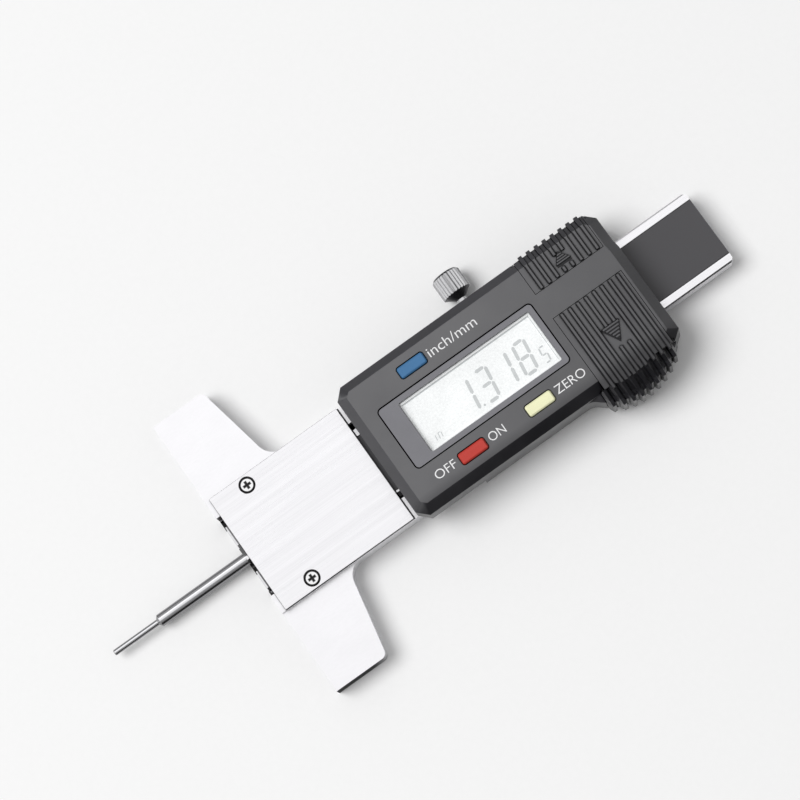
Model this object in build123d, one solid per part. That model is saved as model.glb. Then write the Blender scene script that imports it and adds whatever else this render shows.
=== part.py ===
"""Digital tread depth gauge, lying on its back, as the separate pieces it comes apart into.

Lengths are millimetres. The origin is where the probe's axis meets the measuring face of
the foot. +X runs along the beam, away from the probe's point. +Y points to the lock screw.
+Z is up, out of the display. The gauge is drawn with its probe pushed right out.
"""
from build123d import *
from math import atan, cos, pi, sin, sqrt
import os

# Heights
probe_height = 2.5  # from the surface it lies on up to the probe's axis
floor_thickness = 1.0  # under the beam's channel
slide_gap = 0.1  # between the beam and the channel's floor, and under the cover plate
side_gap = 0.05  # between the beam, the gib and the channel's walls

# Beam and its scale
beam_width = 16.0
beam_thickness = 4.0
beam_length = 106.5
beam_setback = 0.4  # from the measuring face to the beam's front end
beam_edge = 0.3  # bevel along the beam's long edges
beam_corner = 0.7  # cut corners of the beam's free end
scale_width = 12.7
scale_thickness = 0.25
scale_setback = 11.0  # from the beam's front end

# Probe
probe_reach = 30.2  # from the measuring face to the point, and the beam's whole travel
tip_length = 10.0
tip_diameter = 1.15
tip_point = 0.15  # bevel at the point
rod_diameter = 2.5
rod_shoulder = 0.5  # cone from the rod to the tip
spigot_diameter = 1.6
spigot_length = 7.0
holder_width = 6.9
holder_length = 9.0
holder_notch = 1.1  # step beside the rod on the holder's front
pin_diameter = 1.2
pin_height = 1.7  # of the cross pin's axis above the probe's axis
fit_gap = 0.02  # round a pin or spigot that is fixed in its hole

# Foot and channel frame
foot_length = 61.0
foot_thickness = 4.6
wing_tip_width = 11.4
wing_root_width = 14.9
wing_corner = 1.3
wing_fillet = 3.7
stem_width = 25.5
frame_gap = 0.2  # between the frame's end and the housing's rear wall
gib_thickness = 0.8
gib_setback = 2.0  # from the frame's end
gib_length = 50.0
mouth_relief_low = 0.8
mouth_relief_high = 0.2
mouth_depth = 1.6
relief_width = 0.5
relief_depth = 0.25

# Cover plate
plate_setback = 1.0
plate_length = 29.25
plate_thickness = 1.0
plate_gap = 0.95  # between the plate and the housing
plate_screw_setback = 7.4  # from the plate's front edge
plate_screw_inset = 2.0  # from the plate's side
plate_screw_diameter = 2.0
plate_screw_depth = 4.5
plate_head_diameter = 2.6
plate_head_seat = 3.2
plate_head_height = 0.75
recess_length = 1.5
recess_width = 0.35
recess_depth = 0.4

# Housing
housing_length = 59.4
housing_width = 29.4
housing_corner = 2.0
bevel_width = 1.9
bevel_height = 1.8
top_wall = 1.2
front_wall = 1.6
wall_gap = 0.1  # between the frame's sides and the housing's skirt
rear_step = 0.25  # the rear face stands back on the lock screw's side
rear_step_y = 5.7
rear_step_slope = 1.9
rear_cut_length = 1.9
rear_cut_width = 1.5
rear_wall = 2.4
skirt_setback = 14.0  # from the housing's front face
skirt_bottom = 0.0
beam_slot_gap = 0.4

# Thumb bulge on the battery cover
bulge_reach = 3.95
bulge_peak_setback = 5.6  # from the battery cover's front edge
bulge_front_radius = 11.5
bulge_rear_radius = 16.3
bulge_bevel = 3.0
bulge_root = 8.7
bulge_overhang = 1.0  # of the cover's bulge in front of the cover's edge
bulge_wall = 1.3
flare_radius = 3.0
flare_run = 9.0  # of the wall in front of the flare

# Ribs
rib_setback = 1.65  # of the first rib from the cover's front edge
rib_pitch = 1.81
rib_count = 8
rib_width = 0.8
rib_height = 0.35
tooth_height = 0.85
tooth_half_base = 0.78
tooth_half_tip = 0.3
side_rib_height = 0.5
side_rib_root = 1.0  # how far a side rib runs onto the top

# Sliding covers
lid_length = 15.3
lid_gap = 0.1
lid_thickness = 0.8
battery_lid_y = 1.57  # inner edge of the battery cover
port_lid_width = 7.42
flange_width = 1.0
flange_height = 1.2
tongue_reach = 0.45
tongue_height = 0.6
groove_gap = 0.05
lid_skirt_depth = 2.4
battery_arrow_setback = 9.27  # from the cover's inner edge
battery_arrow_length = 4.4
port_arrow_setback = 2.52
port_arrow_length = 2.5
arrow_ribs = (3, 4)  # the ribs that stop short of the arrows

# Display
bezel_front = 5.05  # of the housing's top in front of the bezel
bezel_rear = 1.95  # between the bezel and the covers
bezel_width = 13.2
bezel_corner = 0.75
bezel_gap = 0.25
bezel_thickness = 0.7
bezel_seat = 0.8
bezel_border_front = 3.95
bezel_border = 1.05
window_corner = 0.4
window_gap = 0.04
window_drop = 0.06
panel_border = 1.2  # of the panel beyond the window's ends
panel_border_side = 1.15
panel_thickness = 1.8
panel_gap = 0.05
panel_margin = 0.5  # of the opening in the housing round the window
connector_setback = 2.0  # from the panel's ends
connector_width = 1.6
connector_inset = 0.1

# Circuit board and battery
board_setback = 1.8  # from the housing's front face
board_inset = 0.15  # from the frame's sides
board_thickness = 0.6
chip_size = 8.0
chip_thickness = 1.2
cell_diameter = 11.6
cell_thickness = 5.4
cell_rim = 0.4
cell_cap_diameter = 10.0
cell_setback = 7.8  # of its centre from the battery cover's front edge
cell_inset = 6.77  # of its centre from the battery cover's inner edge
cell_gap = 0.15
contact_thickness = 0.1
contact_gap = 0.05
contact_width = 3.0
contact_tail = 1.0
contact_drop = 0.5  # of the positive contact's top below the deck
negative_contact_width = 7.0
compartment_wall = 1.3
deck_top = 7.0
port_length = 8.0
port_width = 2.6
port_inset = 2.92  # of the port's centre from its cover's inner edge
port_pin_count = 4
port_pin_size = 0.6
port_pin_height = 2.2
port_pin_pitch = 2.0

# Buttons
button_length = 5.7
button_width = 2.3
button_corner = 0.45
button_edge = 0.25
button_gap = 0.2
button_stand = 0.3
button_travel = 0.4
button_flange = 0.6
button_flange_thickness = 0.6
button_stem_length = 3.0
button_stem_width = 1.6
dome_diameter = 3.2
dome_top_diameter = 2.0
dome_height = 1.1
left_button_setback = 15.25  # of its centre from the housing's front face
right_button_setback = 11.2  # of its centre from the covers
button_row_inset = 2.95  # of the rows from the cavity's sides

# Lock screw and set screws
lock_head_diameter = 5.9
lock_head_length = 4.3
lock_head_start = 17.9
lock_cone_length = 1.4
lock_rim = 0.5
lock_neck_diameter = 2.0
knurl_count = 26
knurl_depth = 0.2
thread_diameter = 2.5
thread_gap = 0.06
pad_diameter = 2.2
pad_thickness = 0.9
touch_gap = 0.02
gib_screw_front = 15.8  # of the first from the housing's front face
gib_screw_rear = 3.0  # of the second behind the covers' front edge
slot_width = 0.5
slot_depth = 0.6
access_diameter = 3.4
stop_screw_setback = 30.8  # from the housing's front face
stop_screw_diameter = 3.0
stop_dog_diameter = 2.0
stop_dog_reach = 1.4
stop_slot_gap = 0.15

# Housing screws
housing_screw_front = 4.0  # from the housing's front face
housing_screw_rear = 3.5  # from the covers
housing_screw_inset = 1.95  # from the frame's sides
housing_screw_diameter = 2.0
housing_screw_reach = 4.0
housing_head_diameter = 3.4
housing_head_height = 0.9
housing_head_gap = 0.1
boss_width = 3.4
boss_clearance = 0.2

# Drawing aids
past = 1.0  # how far a cut runs beyond the face that it opens
root_depth = 0.2  # how deep a rib or boss is rooted in what carries it
hole_rest = 0.5  # how much deeper a blind hole is than its screw
near = 0.01  # closer than this counts as the same place
far_out = 200.0  # well outside the gauge

# Levels and places that follow from the sizes above
rest_z = -probe_height
floor_z = rest_z + floor_thickness
beam_z0 = floor_z + slide_gap
beam_z1 = beam_z0 + beam_thickness
beam_mid_z = (beam_z0 + beam_z1) / 2
seat_z = beam_z1 + slide_gap
board_z1 = seat_z + board_thickness
contact_z1 = board_z1 + contact_thickness
cell_z0 = contact_z1 + contact_gap
cell_z1 = cell_z0 + cell_thickness
lid_z0 = cell_z1 + contact_gap
housing_top = lid_z0 + lid_thickness
ceiling_z = housing_top - top_wall
shoulder_z = housing_top - bevel_height
beam_x0 = beam_setback
beam_x1 = beam_x0 + beam_length
beam_side = beam_width / 2
pin_x = beam_x0 + holder_length / 2
channel_low = -beam_side - side_gap
gib_y0 = beam_side + side_gap
gib_y1 = gib_y0 + gib_thickness
channel_high = gib_y1 + side_gap
stem_side = stem_width / 2
plate_x0 = plate_setback
plate_x1 = plate_x0 + plate_length
plate_screw_x = plate_x0 + plate_screw_setback
plate_screw_y = stem_side - plate_screw_inset
housing_start = plate_x1 + plate_gap
housing_end = housing_start + housing_length
housing_side = housing_width / 2
cavity_side = stem_side + wall_gap
skirt_start = housing_start + skirt_setback
rear_wall_start = housing_end - rear_wall
frame_end = rear_wall_start - frame_gap
gib_end = frame_end - gib_setback
lid_end = rear_wall_start - lid_gap
lid_start = lid_end - lid_length
port_lid_y = housing_side - port_lid_width
bulge_peak_x = lid_start + bulge_peak_setback
bulge_split_x = lid_start - bulge_overhang
battery_arrow_y = battery_lid_y - battery_arrow_setback
port_arrow_y = port_lid_y + port_arrow_setback
cell_x = lid_start + cell_setback
cell_y = battery_lid_y - cell_inset
port_centre_y = port_lid_y + port_inset
gib_screw_x = (housing_start + gib_screw_front, lid_start + gib_screw_rear)
lock_x = sum(gib_screw_x) / 2
stop_screw_x = housing_start + stop_screw_setback
housing_screw_x = (housing_start + housing_screw_front, lid_start - housing_screw_rear)
housing_screw_y = stem_side - housing_screw_inset
bezel_start = housing_start + bezel_front
bezel_length = lid_start - bezel_rear - bezel_start
window_length = bezel_length - bezel_border_front - bezel_border
window_width = bezel_width - 2 * bezel_border
window_centre_x = bezel_start + bezel_border_front + window_length / 2
panel_length = window_length + 2 * panel_border
panel_width = window_width + 2 * panel_border_side
connector_length = panel_length - 2 * connector_setback
left_button_x = housing_start + left_button_setback
right_button_x = lid_start - right_button_setback
button_row_y = cavity_side - button_row_inset
bezel_z0 = housing_top - bezel_seat
bezel_z1 = bezel_z0 + bezel_thickness
panel_z1 = ceiling_z - panel_gap
panel_z0 = panel_z1 - panel_thickness
button_top = housing_top + button_stand
flange_z1 = ceiling_z - panel_gap
dome_z1 = board_z1 + dome_height
stem_z0 = dome_z1 + button_travel + contact_gap
deck_z0 = board_z1 + boss_clearance / 2
tongue_z0 = lid_z0 - flange_height


def block(x0, x1, y0, y1, z0, z1):
    """A box between two corners."""
    middle = Pos((x0 + x1) / 2, (y0 + y1) / 2, (z0 + z1) / 2)
    return middle * Box(x1 - x0, y1 - y0, z1 - z0)


def round_block(x, y, length, width, corner, z0, z1):
    """A plate with rounded corners, centred on x and y."""
    return extrude(Pos(x, y, z0) * RectangleRounded(length, width, corner), z1 - z0)


def post(x, y, diameter, z0, z1):
    """A round post standing along Z."""
    return Pos(x, y, (z0 + z1) / 2) * Cylinder(diameter / 2, z1 - z0)


def bar(x0, x1, diameter):
    """A round bar on the probe's axis."""
    return Pos((x0 + x1) / 2, 0, 0) * Rot(0, 90, 0) * Cylinder(diameter / 2, x1 - x0)


def spindle(x, z, diameter, y0, y1):
    """A round bar lying along Y."""
    return Pos(x, (y0 + y1) / 2, z) * Rot(90, 0, 0) * Cylinder(diameter / 2, y1 - y0)


def outline_face(points):
    """The flat face inside a closed outline."""
    return make_face(Polyline(*points, close=True))


def raised(face, z0, z1):
    """A face drawn from above, raised from z0 to z1."""
    return extrude(Pos(0, 0, z0) * face, z1 - z0)


def side_profile(x, points):
    """A face in the plane across the beam at x, from (y, z) points."""
    return Plane.YZ.offset(x) * outline_face(points)


def side_slab(x, width, points):
    """A (y, z) outline with the given width along the beam, centred on x."""
    return extrude(side_profile(x - width / 2, points), width)


def rib_x(index):
    """Place of a rib along the beam."""
    return lid_start + rib_setback + index * rib_pitch


def base_foot():
    """Foot and channel frame in one piece: two wings, the measuring face and the channel."""
    tip, root = foot_length / 2, stem_side
    outline = [
        (0, -tip), (wing_tip_width, -tip), (wing_root_width, -root), (frame_end, -root),
        (frame_end, root), (wing_root_width, root), (wing_tip_width, tip), (0, tip),
    ]
    face = outline_face(outline)
    inner = [v for v in face.vertices() if abs(v.X - wing_root_width) < near]
    face = fillet(inner, wing_fillet)
    outer = [v for v in face.vertices() if abs(v.X - wing_tip_width) < near]
    face = fillet(outer, wing_corner)
    foot = raised(face, rest_z, rest_z + foot_thickness)
    foot += block(0, frame_end, -stem_side, stem_side, rest_z, seat_z)
    front, rear, above, below = -past, frame_end + past, seat_z + past, rest_z - past
    foot -= block(front, rear, channel_low, channel_high, floor_z, above)
    low, high = channel_low - mouth_relief_low, channel_high + mouth_relief_high
    foot -= block(front, mouth_depth, low, high, floor_z, above)
    for low in (channel_low - relief_width / 2, channel_high - relief_width / 2):
        foot -= block(front, rear, low, low + relief_width, floor_z - relief_depth, floor_z)
    for side in (-1, 1):
        y = side * plate_screw_y
        hole = plate_screw_diameter + 2 * thread_gap
        foot -= post(plate_screw_x, y, hole, seat_z - plate_screw_depth - hole_rest, above)
        for x in housing_screw_x:
            y = side * housing_screw_y
            foot -= post(x, y, housing_screw_diameter + 2 * thread_gap, below, above)
            sink = housing_head_diameter + 2 * housing_head_gap
            foot -= post(x, y, sink, below, rest_z + housing_head_height + housing_head_gap)
    bore = thread_diameter + 2 * thread_gap
    for x in side_screw_places():
        foot -= spindle(x, beam_mid_z, bore, channel_high - near, stem_side + past)
    foot -= post(stop_screw_x, 0, stop_screw_diameter + 2 * thread_gap, below, floor_z + past)
    return foot


def side_screw_places():
    """Places along the beam of the two gib screws and the lock screw midway between them."""
    return (*gib_screw_x, lock_x)


def cover_plate():
    """Ground plate that closes the channel between the measuring face and the housing."""
    plate = block(plate_x0, plate_x1, -stem_side, stem_side, seat_z, seat_z + plate_thickness)
    top = seat_z + plate_thickness
    for side in (-1, 1):
        y = side * plate_screw_y
        hole = plate_screw_diameter + 2 * housing_head_gap
        plate -= post(plate_screw_x, y, hole, seat_z - past, top + past)
        plate -= post(plate_screw_x, y, plate_head_seat, top - plate_head_height, top + past)
    return plate


def cover_plate_screws():
    """Two cross-recess screws, heads flush in the plate."""
    top = seat_z + plate_thickness
    screws = []
    for side in (-1, 1):
        y = side * plate_screw_y
        head_z0 = top - plate_head_height
        screw = post(plate_screw_x, y, plate_head_diameter, head_z0, top)
        screw += post(plate_screw_x, y, plate_screw_diameter, seat_z - plate_screw_depth, head_z0)
        screw -= cross_recess(plate_screw_x, y, top - recess_depth, top + past)
        screws.append(screw)
    return Compound(screws)


def cross_recess(x, y, z0, z1):
    """Cutter for the cross in a screw's head."""
    half, thin = recess_length / 2, recess_width / 2
    along = block(x - half, x + half, y - thin, y + thin, z0, z1)
    across = block(x - thin, x + thin, y - half, y + half, z0, z1)
    return along + across


def beam():
    """Ground bar with a recess for the scale, a fork for the probe and a stop slot below."""
    bar_section = [
        (-beam_side + beam_edge, beam_z0), (beam_side - beam_edge, beam_z0),
        (beam_side, beam_z0 + beam_edge), (beam_side, beam_z1 - beam_edge),
        (beam_side - beam_edge, beam_z1), (-beam_side + beam_edge, beam_z1),
        (-beam_side, beam_z1 - beam_edge), (-beam_side, beam_z0 + beam_edge),
    ]
    body = extrude(side_profile(beam_x0, bar_section), beam_length)
    corners = [e for e in body.edges().filter_by(Axis.Z) if abs(e.center().X - beam_x1) < near]
    body = chamfer(corners, beam_corner)
    start = beam_x0 + scale_setback
    half = scale_width / 2
    below, above = beam_z0 - past, beam_z1 + past
    body -= block(start, beam_x1 + past, -half, half, beam_z1 - scale_thickness, above)
    half = holder_width / 2
    body -= block(beam_x0 - past, beam_x0 + holder_length, -half, half, below, above)
    hole = pin_diameter + 2 * fit_gap
    body -= spindle(pin_x, pin_height, hole, -beam_side - past, beam_side + past)
    width = stop_dog_diameter + 2 * stop_slot_gap
    depth = floor_z + stop_dog_reach + stop_slot_gap
    front = stop_screw_x - probe_reach
    body -= block(front, stop_screw_x, -width / 2, width / 2, below, depth)
    for x in (front, stop_screw_x):
        body -= post(x, 0, width, below, depth)
    return body


def scale_strip():
    """Printed film of the scale, glued flush in the beam's recess."""
    half = scale_width / 2
    start = beam_x0 + scale_setback
    return block(start, beam_x1, -half, half, beam_z1 - scale_thickness, beam_z1)


def probe_rod():
    """Turned probe: thin tip, polished rod and a spigot fixed in the holder."""
    tip_r, rod_r, spigot_r = tip_diameter / 2, rod_diameter / 2, spigot_diameter / 2
    rod_start = -probe_reach + tip_length
    profile = [
        (-probe_reach, 0), (-probe_reach, tip_r - tip_point), (-probe_reach + tip_point, tip_r),
        (rod_start, tip_r), (rod_start + rod_shoulder, rod_r), (beam_x0, rod_r),
        (beam_x0, spigot_r), (beam_x0 + spigot_length, spigot_r), (beam_x0 + spigot_length, 0),
    ]
    return revolve(Plane.XZ * outline_face(profile), Axis.X)


def probe_holder():
    """Block in the beam's fork that carries the probe's spigot and the cross pin."""
    half = holder_width / 2
    end = beam_x0 + holder_length
    holder = block(beam_x0, end, -half, half, beam_z0, beam_z1)
    front = beam_x0 - past
    holder -= block(
        front, beam_x0 + holder_notch, -half - past, -rod_diameter / 2, beam_z0 - past, beam_z1 + past
    )
    holder -= bar(front, beam_x0 + spigot_length + fit_gap, spigot_diameter + 2 * fit_gap)
    hole = pin_diameter + 2 * fit_gap
    return holder - spindle(pin_x, pin_height, hole, -half - past, half + past)


def holder_pin():
    """Cross pin through the beam's fork and the holder."""
    reach = beam_side - beam_edge
    return spindle(pin_x, pin_height, pin_diameter, -reach, reach)


def gib_strip():
    """Thin bearing strip between the beam and the channel's wall."""
    return block(
        gib_end - gib_length, gib_end, gib_y0, gib_y1, floor_z + slide_gap, seat_z - slide_gap
    )


def gib_screws():
    """Two slotted set screws that take up the gib's play."""
    screws = []
    for x in gib_screw_x:
        y0, y1 = gib_y1 + touch_gap, stem_side - touch_gap
        screw = spindle(x, beam_mid_z, thread_diameter, y0, y1)
        half = slot_width / 2
        screw -= block(x - half, x + half, y1 - slot_depth, y1 + past, -far_out, far_out)
        screws.append(screw)
    return Compound(screws)


def stop_screw():
    """Screw in the frame's floor whose dog runs in the beam's slot and ends the travel."""
    screw = post(stop_screw_x, 0, stop_screw_diameter, rest_z + touch_gap, floor_z)
    screw += post(stop_screw_x, 0, stop_dog_diameter, floor_z, floor_z + stop_dog_reach)
    half = slot_width / 2
    z1 = rest_z + touch_gap + recess_depth
    return screw - block(-far_out, far_out, -half, half, rest_z - past, z1)


def lock_pad():
    """Brass pad between the lock screw and the gib."""
    y0 = gib_y1 + touch_gap
    return spindle(lock_x, beam_mid_z, pad_diameter, y0, y0 + pad_thickness)


def lock_screw():
    """Thumb screw: thread, thin neck, conical underside and a knurled head."""
    thread_r, neck_r, head_r = thread_diameter / 2, lock_neck_diameter / 2, lock_head_diameter / 2
    y0 = gib_y1 + pad_thickness + 2 * touch_gap
    head_end = lock_head_start + lock_head_length
    profile = [
        (0, y0), (thread_r, y0), (thread_r, stem_side), (neck_r, stem_side),
        (neck_r, lock_head_start - lock_cone_length),
        (head_r - lock_rim, lock_head_start - lock_rim / 2), (head_r, lock_head_start),
        (head_r, head_end - lock_rim), (head_r - lock_rim, head_end),
        (0, head_end),
    ]
    turned = revolve(outline_face(profile), Axis.Y)
    ridges = []
    crest, valley = head_r + near, head_r - knurl_depth
    for i in range(knurl_count):
        a = 2 * pi * i / knurl_count
        b = a + pi / knurl_count
        ridges.append((crest * cos(a), crest * sin(a)))
        ridges.append((valley * cos(b), valley * sin(b)))
    knurl = extrude(Plane.XZ * outline_face(ridges), far_out, both=True)
    return Pos(lock_x, 0, beam_mid_z) * (turned & knurl)


def housing_outline():
    """Housing seen from above, without the thumb bulge."""
    c, side, rear = housing_corner, housing_side, housing_end - rear_step
    return [
        (housing_start + c, -side), (housing_end - rear_cut_length, -side),
        (housing_end, -side + rear_cut_width), (housing_end, rear_step_y),
        (rear, rear_step_y + rear_step_slope), (rear, side - c), (rear - c, side),
        (housing_start + c, side), (housing_start, side - c), (housing_start, -side + c),
    ]


def bevelled(face, z0, width, height):
    """A face raised from z0 to the housing's top, its top edge bevelled by width and height."""
    body = raised(face, z0, housing_top)
    top = body.faces().sort_by(Axis.Z)[-1]
    return chamfer(top.edges(), width, height, reference=top)


def bulge_y(x):
    """The bulge's surface at x, seen from above."""
    radius = bulge_front_radius if x < bulge_peak_x else bulge_rear_radius
    return -housing_side - bulge_reach + radius - sqrt(radius ** 2 - (x - bulge_peak_x) ** 2)


def bulge_plan(inset=0.0, flare=True):
    """The bulge seen from above: two arcs that meet at its peak, and a flare into the wall."""
    peak_y = -housing_side - bulge_reach + inset
    ends = []
    arcs = []
    for radius, sign in ((bulge_front_radius - inset, -1), (bulge_rear_radius - inset, 1)):
        drop = radius - (bulge_reach - inset)
        reach = sqrt(radius ** 2 - drop ** 2)
        end = (bulge_peak_x + sign * reach, -housing_side)
        half = atan(reach / drop) / 2
        middle = (bulge_peak_x + sign * radius * sin(half), peak_y + radius * (1 - cos(half)))
        arcs.append(ThreePointArc(end, middle, (bulge_peak_x, peak_y)))
        ends.append(end)
    (front, wall), (rear, _) = ends
    if not flare:
        return make_face(arcs + [Polyline((rear, wall), (front, wall))])
    inside = wall + bulge_root
    run = front - flare_run
    points = [(rear, wall), (rear, inside), (run, inside), (run, wall), (front, wall)]
    face = make_face(arcs + [Polyline(*points)])
    corner = [v for v in face.vertices() if abs(v.X - front) < near and abs(v.Y - wall) < near]
    return fillet(corner, flare_radius)


def bulge_form():
    return bevelled(bulge_plan(), skirt_bottom, bulge_bevel, bulge_bevel)


def shell_form():
    """Outer form of the housing without the bulge: upper box and the skirts beside the frame."""
    face = outline_face(housing_outline())
    form = bevelled(face, seat_z, bevel_width, bevel_height)
    skirt = raised(face, skirt_bottom, seat_z)
    skirt &= block(skirt_start, far_out, -far_out, far_out, skirt_bottom, seat_z)
    return form + skirt


def front_housing():
    """Moulded housing: display recess, button holes, two cover bays and screw bosses."""
    flare = bulge_form() & block(
        0, bulge_split_x - lid_gap, -far_out, -housing_side, skirt_bottom, housing_top
    )
    body = shell_form() + flare
    low, front, rear = skirt_bottom - past, housing_start - past, housing_end + past
    partition = lid_start - lid_gap - compartment_wall
    body -= block(
        housing_start + front_wall, partition, -cavity_side, cavity_side, low, ceiling_z
    )
    body -= block(partition - past, rear_wall_start, -cavity_side, cavity_side, low, deck_z0)
    body -= block(front, rear_wall_start, -cavity_side, cavity_side, low, seat_z)
    slot = beam_side + beam_slot_gap
    body -= block(rear_wall_start - past, rear, -slot, slot, low, beam_z1 + beam_slot_gap)
    body = cut_display(body)
    body = cut_buttons(body)
    body = cut_battery_bay(body)
    body = cut_port_bay(body)
    body = add_bosses(body)
    y0, y1, half = cavity_side - past, housing_side + past, access_diameter / 2
    for x in side_screw_places():
        body -= spindle(x, beam_mid_z, access_diameter, y0, y1)
        body -= block(x - half, x + half, y0, y1, low, beam_mid_z)
    return body


def cut_display(body):
    """Recess for the bezel and the opening over the panel."""
    x = bezel_start + bezel_length / 2
    length, width = bezel_length + 2 * bezel_gap, bezel_width + 2 * bezel_gap
    corner = bezel_corner + bezel_gap
    body -= round_block(x, 0, length, width, corner, bezel_z0, housing_top + past)
    half, side = window_length / 2 + panel_margin, window_width / 2 + panel_margin
    return body - block(
        window_centre_x - half, window_centre_x + half, -side, side, ceiling_z - past, housing_top
    )


def cut_buttons(body):
    """Three holes for the buttons' caps."""
    length, width = button_length + 2 * button_gap, button_width + 2 * button_gap
    corner = button_corner + button_gap
    for x, y in button_places().values():
        body -= round_block(x, y, length, width, corner, ceiling_z - past, housing_top + past)
    return body


def cut_battery_bay(body):
    """Bay of the battery cover, the cell's pocket and the grooves that hold the cover."""
    x0, x1 = lid_start - lid_gap, lid_end + lid_gap
    y1 = battery_lid_y + lid_gap
    body -= block(x0, x1, -far_out, y1, deck_top, housing_top + past)
    reach = tongue_reach + lid_gap
    z0, z1 = tongue_z0 - groove_gap, tongue_z0 + tongue_height + groove_gap
    body -= block(x0 - reach, x1 + reach, -far_out, y1, z0, z1)
    low, high = deck_z0 - past, deck_top + past
    body -= post(cell_x, cell_y, cell_diameter + 2 * cell_gap, low, high)
    strip, _ = positive_contact_span()
    half = contact_width / 2 + contact_gap
    return body - block(strip - contact_gap, cell_x, cell_y - half, cell_y + half, low, high)


def cut_port_bay(body):
    """Bay of the data port's cover, the port itself and its grooves."""
    x0, x1 = lid_start - lid_gap, lid_end + lid_gap
    y0, above = port_lid_y - lid_gap, housing_top + past
    body -= block(x0, x1, y0, far_out, deck_top, above)
    body -= block(x0, x1, cavity_side, far_out, shoulder_z - lid_skirt_depth, above)
    reach = tongue_reach + lid_gap
    z0, z1 = tongue_z0 - groove_gap, tongue_z0 + tongue_height + groove_gap
    body -= block(x0 - reach, x1 + reach, y0, far_out, z0, z1)
    half, deep = port_length / 2, port_width / 2
    y0, y1 = port_centre_y - deep, port_centre_y + deep
    return body - block(cell_x - half, cell_x + half, y0, y1, deck_z0 - past, deck_top + past)


def add_bosses(body):
    """Four bosses that take the screws from the back."""
    half = boss_width / 2
    for x in housing_screw_x:
        for side in (-1, 1):
            y = side * housing_screw_y
            x0, x1, y0, y1 = x - half, x + half, y - half, y + half
            body += block(x0, x1, y0, y1, seat_z, ceiling_z + root_depth)
            hole = housing_screw_diameter + 2 * thread_gap
            body -= post(x, y, hole, seat_z - past, seat_z + housing_screw_reach + hole_rest)
    return body


def housing_screws():
    """Four screws driven from the frame's back into the housing's bosses."""
    screws = []
    for x in housing_screw_x:
        for side in (-1, 1):
            y = side * housing_screw_y
            head_z0 = rest_z + housing_head_gap
            head_z1 = head_z0 + housing_head_height
            screw = post(x, y, housing_head_diameter, head_z0, head_z1)
            screw += post(x, y, housing_screw_diameter, head_z1, seat_z + housing_screw_reach)
            screw -= cross_recess(x, y, head_z0 - past, head_z0 + recess_depth)
            screws.append(screw)
    return Compound(screws)


def lid_flanges(y0, y1):
    """Two edge flanges under a cover, each with the tongue that runs in the housing."""
    flanges = block(lid_start, lid_start + flange_width, y0, y1, tongue_z0, lid_z0)
    flanges += block(lid_end - flange_width, lid_end, y0, y1, tongue_z0, lid_z0)
    z1 = tongue_z0 + tongue_height
    flanges += block(lid_start - tongue_reach, lid_start, y0, y1, tongue_z0, z1)
    flanges += block(lid_end, lid_end + tongue_reach, y0, y1, tongue_z0, z1)
    return flanges


def top_ribs(y0, y1, arrow_y, arrow_length):
    """Low ribs across the top of a cover. The middle ones leave room for the arrow."""
    ribs = []
    half = arrow_length / 2
    for i in range(rib_count):
        x0, x1 = rib_x(i) - rib_width / 2, rib_x(i) + rib_width / 2
        spans = [(y0, y1)]
        if i in arrow_ribs:
            spans = [(y0, arrow_y - half), (arrow_y + half, y1)]
        for low, high in spans:
            ribs.append(block(x0, x1, low, high, housing_top - root_depth, housing_top + rib_height))
    return ribs


def bulge_tooth(x):
    """One tooth of the thumb bulge: a ridge up the wall and over the shoulder."""
    valley = bulge_y(x)
    crest, sunk = valley - tooth_height, valley + root_depth
    inside = -housing_side + bulge_root / 2
    shoulder = housing_top - bulge_bevel
    outer = [
        (inside, skirt_bottom), (crest, skirt_bottom), (crest, shoulder),
        (valley + bulge_bevel, housing_top + rib_height), (inside, housing_top + rib_height),
    ]
    inner = [
        (inside, skirt_bottom), (sunk, skirt_bottom), (sunk, shoulder - root_depth),
        (valley + bulge_bevel, housing_top - root_depth), (inside, housing_top - root_depth),
    ]
    base, tip = tooth_half_base, tooth_half_tip
    front = loft([side_profile(x - base, inner), side_profile(x - tip, outer)], ruled=True)
    rear = loft([side_profile(x + tip, outer), side_profile(x + base, inner)], ruled=True)
    return front + side_slab(x, 2 * tip, outer) + rear


def battery_cover():
    """Ribbed cover over the cell, with the toothed thumb bulge, sliding off towards -Y."""
    wall = -housing_side - lid_gap
    inner_wall = -cavity_side - lid_gap
    cover = block(lid_start, lid_end, wall, battery_lid_y, lid_z0, housing_top)
    cover += block(lid_start, lid_end, wall, inner_wall, deck_top + lid_gap, housing_top)
    outside = block(bulge_split_x, far_out, -far_out, wall, skirt_bottom, far_out)
    cover += bulge_form() & outside
    cover += lid_flanges(inner_wall, battery_lid_y)
    rib_start = bulge_y(bulge_peak_x) + bulge_bevel
    cover += top_ribs(rib_start, battery_lid_y - lid_gap, battery_arrow_y, battery_arrow_length)
    cover += [bulge_tooth(rib_x(i)) & outside for i in range(-1, rib_count)]
    return cover - bulge_hollow()


def bulge_hollow():
    """Cutter for the space inside the thumb bulge."""
    z0 = skirt_bottom + bulge_wall
    hollow = raised(bulge_plan(bulge_wall, flare=False), z0, housing_top - bulge_bevel - bulge_wall)
    return hollow & block(lid_start, lid_end - flange_width, -far_out, far_out, -far_out, far_out)


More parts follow.
